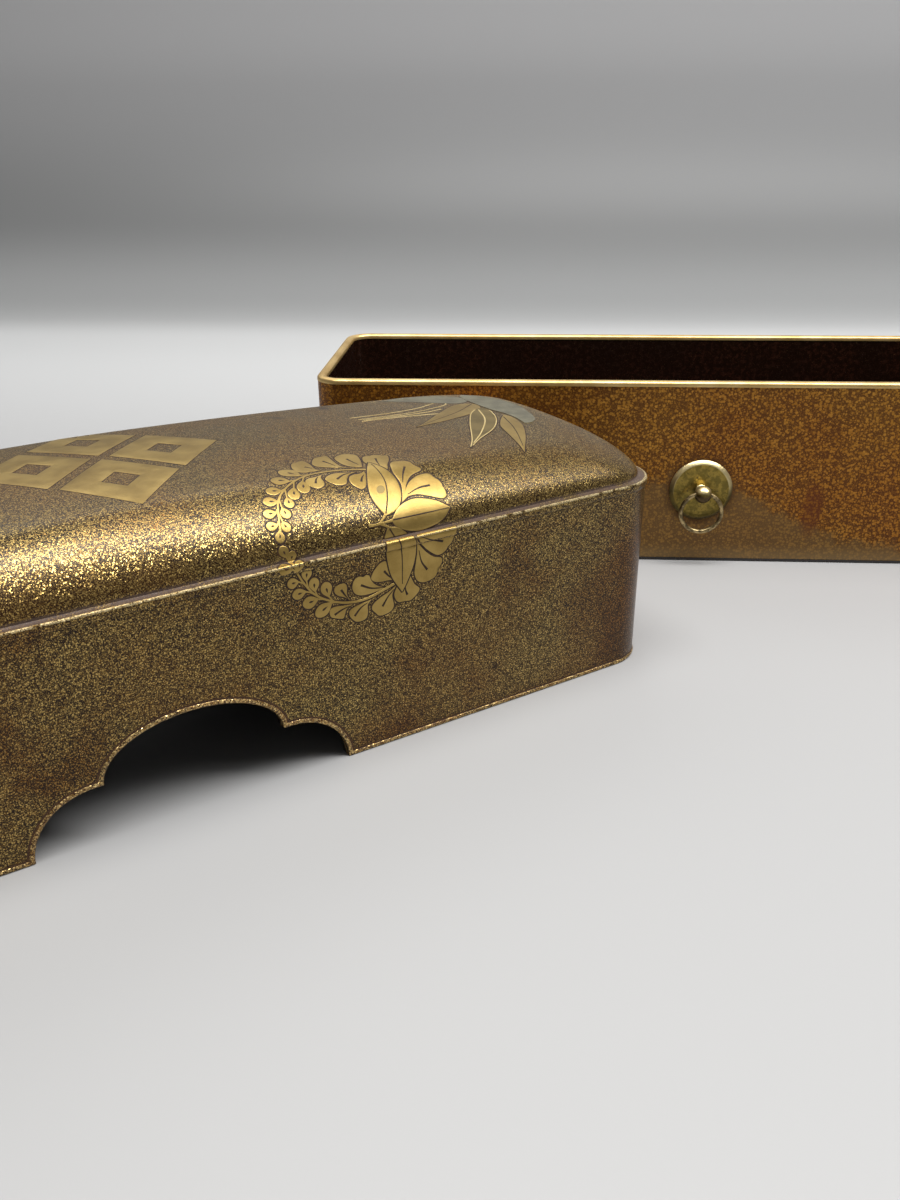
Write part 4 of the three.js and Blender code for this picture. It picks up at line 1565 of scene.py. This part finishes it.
lidLook = {
    "ground": rgb(24, 14, 8),
    "redGround": rgb(40, 22, 10),
    "deep": rgb(74, 51, 22),
    "pale": rgb(206, 176, 106),
    "warm": rgb(134, 86, 36),
    "warmShare": 0.28,
    "groundMetal": 0.15,
    "size": 0.28,
    "cover": 1.0,
    "tilt": 0.34,
    "fineSize": 0.18,
    "fineCover": 0.95,
    "fineShare": 0.5,
    "stainSize": 34.0,
    "stainAmount": 0.45,
    "stainLoss": 0.55,
    "roughness": 0.27,
    # dark line in the cove over the moulding, and the moulding's gilt upper edge, painted pale as
    # its highlight
    "cove": rgb(74, 60, 54),
    "coveHeights": (48.895, 48.92, 49.5, 50.0),
    "coveSize": 5.0,
    "coveRange": (0.3, 0.55),
    "coveShare": (0.65, 0.25),  # gain and least
    "giltEdgeAndHighlight": rgb(252, 230, 176),
    "mouldHeights": (48.45, 48.6, 48.895, 48.91),
    "mouldWear": 0.8,
    "mouldRange": (0.38, 0.6),
    # rubbed halo along the lower edge and round the cut-outs
    "halo": (4.6, 0.8),
    "haloSize": 6.0,
    "haloNoise": 2.0,
    "haloShare": 0.25,
    "haloRub": 0.5,
    # where hands lift the lid: round the cut-out, a little to the left of its middle
    "handledAt": (-16.0, 16.0),
    "handledReach": (40.0, 10.0),
    "handledSize": 14.0,
    "handledNoise": 30.0,
    # rubbed blots low on the long side and away from its right end
    "blotSize": 26.0,
    "blotRange": (0.48, 0.72),
    "blotHeights": (50.0, 46.0),
    "blotPlaces": (70.0, 45.0),
    "blotRub": 0.7,
}

bodyLook = {
    "ground": rgb(97, 61, 21),
    "redGround": rgb(92, 52, 18),
    "deep": rgb(134, 88, 29),
    "pale": rgb(188, 135, 56),
    "warm": rgb(160, 94, 32),
    "warmShare": 0.35,
    "groundMetal": 0.5,
    "size": 0.75,
    "cover": 1.05,
    "tilt": 0.25,
    "fineSize": 0.36,
    "fineCover": 0.85,
    "fineShare": 0.6,
    "stainSize": 42.0,
    "stainAmount": 0.35,
    "stainLoss": 0.3,
    "roughness": 0.42,
    # greyed and dulled zone along the foot, higher round the fitting
    "dullGround": rgb(88, 64, 35),
    "dullFlake": rgb(136, 107, 64),
    "dullFlakeShare": 0.8,
    "dullHeight": 8.0,
    "dullGain": 19.0,
    "dullReach": (46.0, 8.0),
    "dullSize": 9.0,
    "dullNoise": 22.0,
    "dullRange": (-1.6, 3.6),
    "dullShare": 0.75,
    # pale foot, a red smear beside the fitting, and dirt with painted shade round its plate
    "foot": rgb(156, 132, 92),
    "footHeights": (7.0, 1.0),
    "footShare": 0.4,
    "smear": rgb(100, 48, 24),
    "smearAt": (35.0, 18.0),
    "smearSize": (3.6, 9.0),
    "smearRange": (1.3, 0.5),
    "smearShare": 0.5,
    "dirtAndShade": rgb(70, 44, 22),
    "dirtAndShadeReach": (12.6, 9.2),
    "dirtAndShadeShare": 0.6,
}

# what the lid, the body and the bead share
flakedLook = {
    "fineShift": (0.31, 0.17, 0.05),  # metres, so that fine flakes don't lie as the large ones do
    "handledLoss": -0.16,
    "handledWarm": 0.75,
    "metal": 0.9,
    "roughGain": 0.08,
}


def inMillimetres(tree, place):
    split = tree.add("ShaderNodeSeparateXYZ", Vector=tree.vector("SCALE", place, scale=1 / mm))
    return [split.outputs[way] for way in "XYZ"]


def away(tree, across, up, centre=(0.0, 0.0), size=(1.0, 1.0)):
    # distance from a centre, in half sizes of an ellipse round it
    x, y = (
        tree.sum("DIVIDE", tree.sum("SUBTRACT", value, middle), half)
        for value, middle, half in zip((across, up), centre, size)
    )
    return tree.vector("LENGTH", tree.add("ShaderNodeCombineXYZ", X=x, Y=y).outputs[0])


def painted(tree, mask, share, colour, paint):
    # the colour with a paint over it where the mask is
    return tree.blend(tree.sum("MULTIPLY", mask, share), colour, paint)


def swayed(tree, value, noise, reach):
    # the value moved up and down by a noise
    return tree.sum("MULTIPLY_ADD", noise, reach, tree.sum("SUBTRACT", value, reach / 2))


def setSurface(tree, shader, colour, metal, metalShare):
    tree.feed(shader, "Base Color", colour)
    tree.feed(shader, "Metallic", tree.sum("MULTIPLY", metal, metalShare))


def sprinkle(tree, shader, place, look, groups, handled=0.0):
    # flaked lacquer: large and fine flakes over a ground that reddens and thins in the stains
    # and where it is much handled; gives the colour and how metallic it is
    stain = useGroup(
        tree, groups["stains"], Place=place, Size=look["stainSize"], Amount=look["stainAmount"],
    )
    loss = tree.sum("MULTIPLY_ADD", stain["Spots"], -look["stainLoss"], 1.0)
    loss = tree.sum("MULTIPLY_ADD", handled, flakedLook["handledLoss"], loss)
    large = useGroup(
        tree, groups["flakes"], Place=place, Size=look["size"],
        Cover=tree.sum("MULTIPLY", loss, look["cover"]), Tilt=look["tilt"],
    )
    fine = useGroup(
        tree, groups["flakes"], Place=tree.vector("ADD", place, flakedLook["fineShift"]),
        Size=look["fineSize"], Cover=tree.sum("MULTIPLY", loss, look["fineCover"]),
        Tilt=look["tilt"],
    )
    colour = tree.blend(stain["Cloud"], look["ground"], look["redGround"])
    warm = tree.sum("MULTIPLY", handled, flakedLook["handledWarm"])
    warm = tree.sum("MULTIPLY_ADD", stain["Cloud"], look["warmShare"], warm, clamp=True)
    deep, pale = (tree.blend(warm, look[tone], look["warm"]) for tone in ("deep", "pale"))
    fineFlake = tree.sum("MULTIPLY", fine["Flake"], look["fineShare"])
    colour = tree.blend(fineFlake, colour, tree.blend(fine["Tone"], deep, pale))
    colour = tree.blend(large["Flake"], colour, tree.blend(large["Tone"], deep, pale))
    metal = tree.sum("MAXIMUM", large["Flake"], fineFlake)
    metal = tree.sum("MAXIMUM", metal, look["groundMetal"])
    tree.feed(shader, "Roughness", tree.sum(
        "MULTIPLY_ADD", stain["Cloud"], flakedLook["roughGain"], look["roughness"],
    ))
    tree.feed(shader, "Normal", large["Normal"])
    return colour, metal


def heightMask(tree, height, heights):
    # 1 where the height lies between the middle two of four heights, in millimetres
    rise = tree.between(height, heights[0], heights[1])
    fall = tree.between(height, heights[3], heights[2])
    return tree.sum("MULTIPLY", rise, fall)


def cutOutGap(tree, x, z):
    # about how many millimetres a place lies above the lid's lower edge or the cut-out
    gap = z
    for across, centre, half in (
        (x, (0.0, cutOut["lobeRise"]), (cutOut["archHalfWidth"], cutOut["archRise"])),
        (
            tree.sum("ABSOLUTE", x), (cutOut["lobeCentre"], 0.0),
            (cutOut["lobeHalfWidth"], cutOut["lobeRise"]),
        ),
    ):
        beyond = tree.sum("SUBTRACT", away(tree, across, z, centre, half), 1.0)
        gap = tree.sum("MINIMUM", gap, tree.sum("MULTIPLY", beyond, half[1]))
    return gap


def makeLidLacquer(groups):
    look = lidLook
    material, tree, shader, place = newMaterial(
        "lidLacquer", Specular_IOR_Level=0.2, Coat_Weight=0.04, Coat_Roughness=0.28, Coat_IOR=1.5,
    )
    x, y, z = inMillimetres(tree, place)
    ragged = tree.sum("MULTIPLY", tree.noise(place, look["haloSize"], 3.0), look["haloNoise"])
    halo = tree.between(tree.sum("ADD", cutOutGap(tree, x, z), ragged), *look["halo"])
    reach = swayed(
        tree, away(tree, x, z, look["handledAt"]), tree.noise(place, look["handledSize"], 3.0),
        look["handledNoise"],
    )
    blot = tree.between(tree.noise(place, look["blotSize"], 3.0, 0.6), *look["blotRange"])
    for value, limits in ((z, look["blotHeights"]), (x, look["blotPlaces"])):
        blot = tree.sum("MULTIPLY", blot, tree.between(value, *limits))
    handled = tree.between(reach, *look["handledReach"])
    for mask, share in ((halo, look["haloRub"]), (blot, look["blotRub"])):
        handled = tree.sum("MAXIMUM", handled, tree.sum("MULTIPLY", mask, share))
    colour, metal = sprinkle(tree, shader, place, look, groups, handled)
    colour = painted(tree, halo, look["haloShare"], colour, look["redGround"])
    patch = tree.between(tree.noise(place, look["coveSize"], 3.0, 0.6), *look["coveRange"])
    patch = tree.sum("MULTIPLY_ADD", patch, *look["coveShare"])
    cove = tree.sum("MULTIPLY", heightMask(tree, z, look["coveHeights"]), patch)
    rub = useGroup(tree, groups["wear"], Place=place, Amount=look["mouldWear"])
    # the moulding's gilt upper edge, painted pale as a highlight and broken where rubbed
    giltEdgeAndHighlight = heightMask(tree, z, look["mouldHeights"])
    giltEdgeAndHighlight = tree.sum("MULTIPLY", giltEdgeAndHighlight, tree.sum("SUBTRACT", 1.0, rub["Loss"]))
    giltEdgeAndHighlight = tree.sum("MULTIPLY", giltEdgeAndHighlight, tree.between(rub["Grain"], *look["mouldRange"]))
    colour = tree.blend(giltEdgeAndHighlight, tree.blend(cove, colour, look["cove"]), look["giltEdgeAndHighlight"])
    metal = tree.sum("MAXIMUM", metal, giltEdgeAndHighlight)
    metal = tree.sum("MULTIPLY", metal, tree.sum("SUBTRACT", 1.0, cove))
    setSurface(tree, shader, colour, metal, flakedLook["metal"])
    return material


edgeLook = {
    "ground": rgb(40, 23, 11),
    "redGround": rgb(66, 38, 18),
    "deep": rgb(140, 102, 50),
    "pale": rgb(246, 216, 148),
    "warm": rgb(150, 98, 46),
    "warmShare": 0.2,
    "groundMetal": 0.2,
    "size": 0.36,
    "cover": 1.12,
    "tilt": 0.5,
    "fineSize": 0.18,
    "fineCover": 1.0,
    "fineShare": 0.6,
    "stainSize": 12.0,
    "stainAmount": 0.5,
    "stainLoss": 0.7,
    "roughness": 0.34,
}


def makeEdgeFlakes(groups):
    # coarse gold grains on the bead along the lid's lower edge, rubbed off in places
    material, tree, shader, place = newMaterial("edgeFlakes", Specular_IOR_Level=0.3)
    colour, metal = sprinkle(tree, shader, place, edgeLook, groups)
    setSurface(tree, shader, colour, metal, flakedLook["metal"])
    return material


def makeBodyLacquer(groups):
    look = bodyLook
    material, tree, shader, place = newMaterial(
        "bodyLacquer", Specular_IOR_Level=0.2, Coat_Weight=0.06, Coat_Roughness=0.24, Coat_IOR=1.5,
    )
    colour, metal = sprinkle(tree, shader, place, look, groups)
    x, y, z = inMillimetres(tree, place)
    nearFitting = tree.between(x, *look["dullReach"])
    limit = tree.sum("MULTIPLY_ADD", nearFitting, look["dullGain"], look["dullHeight"])
    limit = swayed(tree, limit, tree.noise(place, look["dullSize"], 5.0, 0.65), look["dullNoise"])
    dull = tree.between(tree.sum("SUBTRACT", limit, z), *look["dullRange"])
    grey = painted(tree, metal, look["dullFlakeShare"], look["dullGround"], look["dullFlake"])
    foot = tree.between(z, *look["footHeights"])
    smear = away(tree, x, z, look["smearAt"], look["smearSize"])
    smear = tree.between(smear, *look["smearRange"])
    # dirt and painted shade in a ring round the plate
    dirtAndShade = tree.between(away(tree, x, z, (0.0, fitting["height"])), *look["dirtAndShadeReach"])
    colour = painted(tree, dull, look["dullShare"], colour, grey)
    for mask, name in ((foot, "foot"), (smear, "smear"), (dirtAndShade, "dirtAndShade")):
        colour = painted(tree, mask, look[name + "Share"], colour, look[name])
    setSurface(tree, shader, colour, metal, flakedLook["metal"])
    return material


insideLook = {
    "deep": rgb(24, 11, 5),
    "red": rgb(50, 21, 9),
    "stain": {"Size": 16.0, "Amount": 0.5},
    "mottleSize": 1.6,
    "mottleRange": (0.42, 0.72),
    "mottleShare": (0.7, 0.15),  # gain and least
    "roughness": 0.22,
    "roughGain": 0.14,
    "bump": (0.15, 0.0002),  # strength and metres
    "bumpSize": 3.0,
}


def makeInsideLacquer(groups):
    look = insideLook
    material, tree, shader, place = newMaterial(
        "insideLacquer", Coat_Weight=0.4, Coat_Roughness=0.1, Coat_IOR=1.5,
    )
    stain = useGroup(tree, groups["stains"], Place=place, **look["stain"])
    mottle = tree.between(tree.noise(place, look["mottleSize"], 4.0, 0.65), *look["mottleRange"])
    share = tree.sum("MULTIPLY_ADD", stain["Cloud"], *look["mottleShare"])
    share = tree.sum("MULTIPLY", mottle, share)
    tree.feed(shader, "Base Color", tree.blend(share, look["deep"], look["red"]))
    rough = tree.sum("MULTIPLY_ADD", mottle, look["roughGain"], look["roughness"])
    tree.feed(shader, "Roughness", rough)
    tree.feed(shader, "Normal", tree.bump(*look["bump"], tree.noise(place, look["bumpSize"], 2.0)))
    return material


darkLooks = {
    "crestGround": {"ground": rgb(36, 21, 11), "light": rgb(66, 44, 26), "size": 1.2},
    "edgeRecess": {"ground": rgb(56, 35, 19), "light": rgb(98, 68, 38), "size": 0.45},
}
darkRange = (0.4, 0.75)  # of the noise, from the ground to the light tone


def makeDarkLacquer(name):
    # round the crests' gold and along the edge bead, where few flakes lie
    look = darkLooks[name]
    material, tree, shader, place = newMaterial(name, Roughness=0.5, Specular_IOR_Level=0.25)
    share = tree.between(tree.noise(place, look["size"], 4.0, 0.7), *darkRange)
    tree.feed(shader, "Base Color", tree.blend(share, look["ground"], look["light"]))
    return material


goldLooks = {
    "crestGold": {
        "gold": rgb(176, 149, 86), "deep": rgb(142, 117, 62), "worn": rgb(98, 68, 36),
        "amount": 0.12, "roughness": 0.36, "metal": 0.85, "bump": 0.12, "cloud": 9.0,
    },
    "dulledGold": {
        "gold": rgb(128, 111, 70), "deep": rgb(100, 86, 52), "worn": rgb(70, 57, 36),
        "amount": 0.3, "roughness": 0.5, "metal": 0.8, "bump": 0.15, "cloud": 7.0,
    },
    "lineGold": {
        "gold": rgb(234, 212, 152), "deep": rgb(204, 180, 120), "worn": rgb(110, 84, 56),
        "amount": 0.15, "roughness": 0.42, "metal": 0.75, "bump": 0.1, "cloud": 6.0,
    },
    "greySilver": {
        "gold": rgb(132, 128, 108), "deep": rgb(106, 102, 86), "worn": rgb(88, 78, 64),
        "amount": 0.3, "roughness": 0.46, "metal": 0.75, "bump": 0.12, "cloud": 5.0,
    },
    "rimGold": {
        "gold": rgb(228, 198, 136), "deep": rgb(196, 162, 100), "worn": rgb(140, 102, 54),
        "amount": 0.12, "roughness": 0.4, "metal": 0.85, "bump": 0.1, "cloud": 12.0,
    },
}

# what all gilding shares
gildedLook = {
    "cloudRange": (0.32, 0.68),
    "cloudShare": (0.8, -0.3),  # of the brighter gold: gain, and what it starts from
    "grainShare": 0.7,
    "wornDull": 0.8,
    "roughGain": 0.2,
    "bumpDistance": 0.00012,
}


def makeGold(name, groups):
    look, shared = goldLooks[name], gildedLook
    material, tree, shader, place = newMaterial(name)
    rub = useGroup(tree, groups["wear"], Place=place, Amount=look["amount"])
    cloud = tree.between(tree.noise(place, look["cloud"], 3.0, 0.6), *shared["cloudRange"])
    share = tree.sum("MULTIPLY_ADD", cloud, *shared["cloudShare"])
    share = tree.sum("MULTIPLY_ADD", rub["Grain"], shared["grainShare"], share, clamp=True)
    colour = tree.blend(share, look["deep"], look["gold"])
    colour = tree.blend(rub["Loss"], colour, look["worn"])
    kept = tree.sum("SUBTRACT", 1.0, tree.sum("MULTIPLY", rub["Loss"], shared["wornDull"]))
    setSurface(tree, shader, colour, kept, look["metal"])
    least = look["roughness"] - shared["roughGain"] / 2
    rough = tree.sum("MULTIPLY_ADD", rub["Grain"], shared["roughGain"], least)
    tree.feed(shader, "Roughness", rough)
    tree.feed(shader, "Normal", tree.bump(look["bump"], shared["bumpDistance"], rub["Height"]))
    return material


brassLook = {
    # light and middle tone of each piece's brass
    "plateBrass": (rgb(152, 130, 64), rgb(116, 101, 50)),
    "headBrass": (rgb(152, 130, 64), rgb(116, 101, 50)),
    "wireBrass": (rgb(186, 164, 118), rgb(112, 98, 70)),
    # dark: patina in stains and grain, and painted shade under the plate's bevel; edge: painted
    # highlight on the bevel and the head; shade: painted shade under the head
    "dark": rgb(58, 50, 30),
    "edge": rgb(240, 222, 168),
    "shade": rgb(58, 44, 38),
    "cloudSize": 1.7,
    "cloudRange": (0.4, 0.62),
    "stain": {"Size": 4.2, "Amount": 0.6},
    "stainShare": 0.75,
    "grainSize": 0.4,
    "grainRange": (0.5, 0.85),
    # plate: its bevel has a painted highlight above and painted shade below
    "bevelRadii": (8.3, 8.7),
    "bevelHeights": (-3.0, 5.0),
    "bevelLightAndShadeShares": (0.85, 0.7),
    # stud's head: painted shade below and a painted highlight on top
    "headPaintedShade": (1.0, -0.4),
    "headPaintedHighlight": (0.3, 1.8),
    "headShare": 0.8,
    "metal": (-0.35, 0.95),  # what a stain takes off, and the most
    "rough": (0.3, 0.22),  # gain with the grain, and the least
    "bump": (0.45, 0.00015),  # strength and metres
    "bumpSize": 0.9,
}


def makeBrass(name, groups):
    # brass with an olive patina, and painted highlights and shade on the plate's bevel and the
    # stud's head
    look = brassLook
    material, tree, shader, place = newMaterial(name)
    stain = useGroup(tree, groups["stains"], Place=place, **look["stain"])
    grain = tree.noise(place, look["grainSize"], 4.0, 0.7)
    light, middle = look[name]
    cloud = tree.between(tree.noise(place, look["cloudSize"], 2.0, 0.5, 0.6), *look["cloudRange"])
    colour = tree.blend(cloud, middle, light)
    colour = painted(tree, stain["Spots"], look["stainShare"], colour, look["dark"])
    colour = tree.blend(tree.between(grain, *look["grainRange"]), colour, look["dark"])
    x, y, z = inMillimetres(tree, place)
    if name == "plateBrass":
        # painted highlight on the bevel's upper side and painted shade on its lower side
        bevel = tree.between(away(tree, x, y), *look["bevelRadii"])
        above = tree.sum("MULTIPLY", bevel, tree.between(y, *look["bevelHeights"]))
        below = tree.sum("MULTIPLY", bevel, tree.between(y, *look["bevelHeights"][::-1]))
        colour = painted(tree, above, look["bevelLightAndShadeShares"][0], colour, look["edge"])
        colour = painted(tree, below, look["bevelLightAndShadeShares"][1], colour, look["dark"])
    if name == "headBrass":
        # painted shade on the head's lower side and a painted highlight on its top
        for limits, paint in (("headPaintedShade", "shade"), ("headPaintedHighlight", "edge")):
            mask = tree.between(y, *look[limits])
            colour = painted(tree, mask, look["headShare"], colour, look[paint])
    tree.feed(shader, "Base Color", colour)
    tree.feed(shader, "Metallic", tree.sum("MULTIPLY_ADD", stain["Spots"], *look["metal"]))
    tree.feed(shader, "Roughness", tree.sum("MULTIPLY_ADD", grain, *look["rough"]))
    relief = tree.noise(place, look["bumpSize"], 3.0, 0.6)
    tree.feed(shader, "Normal", tree.bump(*look["bump"], relief))
    return material


# Making it all

makeCamera()
makeStage()
makeLights()
print("stage: camera, floor and lights")

groups = {"flakes": makeFlakesGroup(), "stains": makeStainsGroup(), "wear": makeWearGroup()}
lidLacquer, bodyLacquer = makeLidLacquer(groups), makeBodyLacquer(groups)
insideLacquer = makeInsideLacquer(groups)
crestGround, edgeRecess = makeDarkLacquer("crestGround"), makeDarkLacquer("edgeRecess")
golds = {name: makeGold(name, groups) for name in goldLooks}
edgeFlakes = makeEdgeFlakes(groups)
plateBrass, headBrass, wireBrass = (
    makeBrass(name, groups) for name in ("plateBrass", "headBrass", "wireBrass")
)
print("stage: materials")

newPiece(
    "lid_skin", "lid", lidMatrix, [lidLacquer, insideLacquer], buildLidSkin,
    inMesh=True, replaces=(
        "lid_top_board", "lid_front_board", "lid_back_board", "lid_left_end_board",
        "lid_right_end_board",
    ),
)
newPiece(
    "lid_edge_bead", "lid", lidMatrix, [edgeFlakes, edgeRecess], buildEdgeBead,
    inMesh=True,
)
print("stage: lid")

atOrigin = Matrix.Identity(4)
newPiece(
    "body_skin", "body", atOrigin, [bodyLacquer, insideLacquer], buildBodySkin,
    replaces=("body_front_board", "body_back_board", "body_left_end_board", "body_right_end_board"),
)
newPiece(
    "body_floor", "body", atOrigin, [insideLacquer], buildBodyFloor,
    replaces=("body_bottom_board",),
)
newPiece(
    "body_gilt_rim", "body", atOrigin, [golds["rimGold"]], buildRim,
    replaces=("body_rim",),
)
print("stage: body")

seat = Matrix.Translation((0, -bodyForm["width"] / 2 * mm, fitting["height"] * mm))
seat = seat @ Matrix.Rotation(math.pi / 2, 4, "X")
for side, turn in (("front", 0.0), ("back", math.pi)):
    matrix = Matrix.Rotation(turn, 4, "Z") @ seat

    def newFitting(name, brass, build, body="body", replaced=()):
        return newPiece(
            side + name, body, matrix, [brass], build,
            replaces=tuple(side + node for node in replaced),
        )

    newFitting("_rosette", plateBrass, buildPlate, replaced=("_plate",))
    boreEye(newFitting("_stud_head", headBrass, buildHead, replaced=("_eye_stud",)), matrix)
    newFitting("_stud_legs", wireBrass, buildLegs)
    newFitting("_pin_washer", wireBrass, buildWasher, replaced=("_washer",))
    newFitting("_wire_ring", wireBrass, buildRing, side + "_cord_ring", ("_ring",))
print("stage: ring fittings")

crestGolds = [golds["crestGold"], golds["dulledGold"], golds["lineGold"], golds["greySilver"]]
coveTop, mouldTop = wisteria["coveTop"], wisteria["mouldTop"]
drawRaceme().pieces("raceme_crest", crestGolds, crestGround, [
    (onFront, turned, None, None) for turned in (False, True)
])
drawFan().pieces("fan_crest", crestGolds, crestGround, [
    (onFront, turned, above, below)
    for turned in (False, True) for above, below in ((coveTop, None), (None, mouldTop))
])
drawLozenges().pieces("lozenge_crest", crestGolds, crestGround, [(yFromFront, False, None, None)])
drawBamboo().pieces("bamboo_crest", crestGolds, crestGround, [
    (yFromFront, turned, None, None) for turned in (False, True)
])
print("stage: crests")

bpy.context.scene.view_settings.view_transform = "Standard"
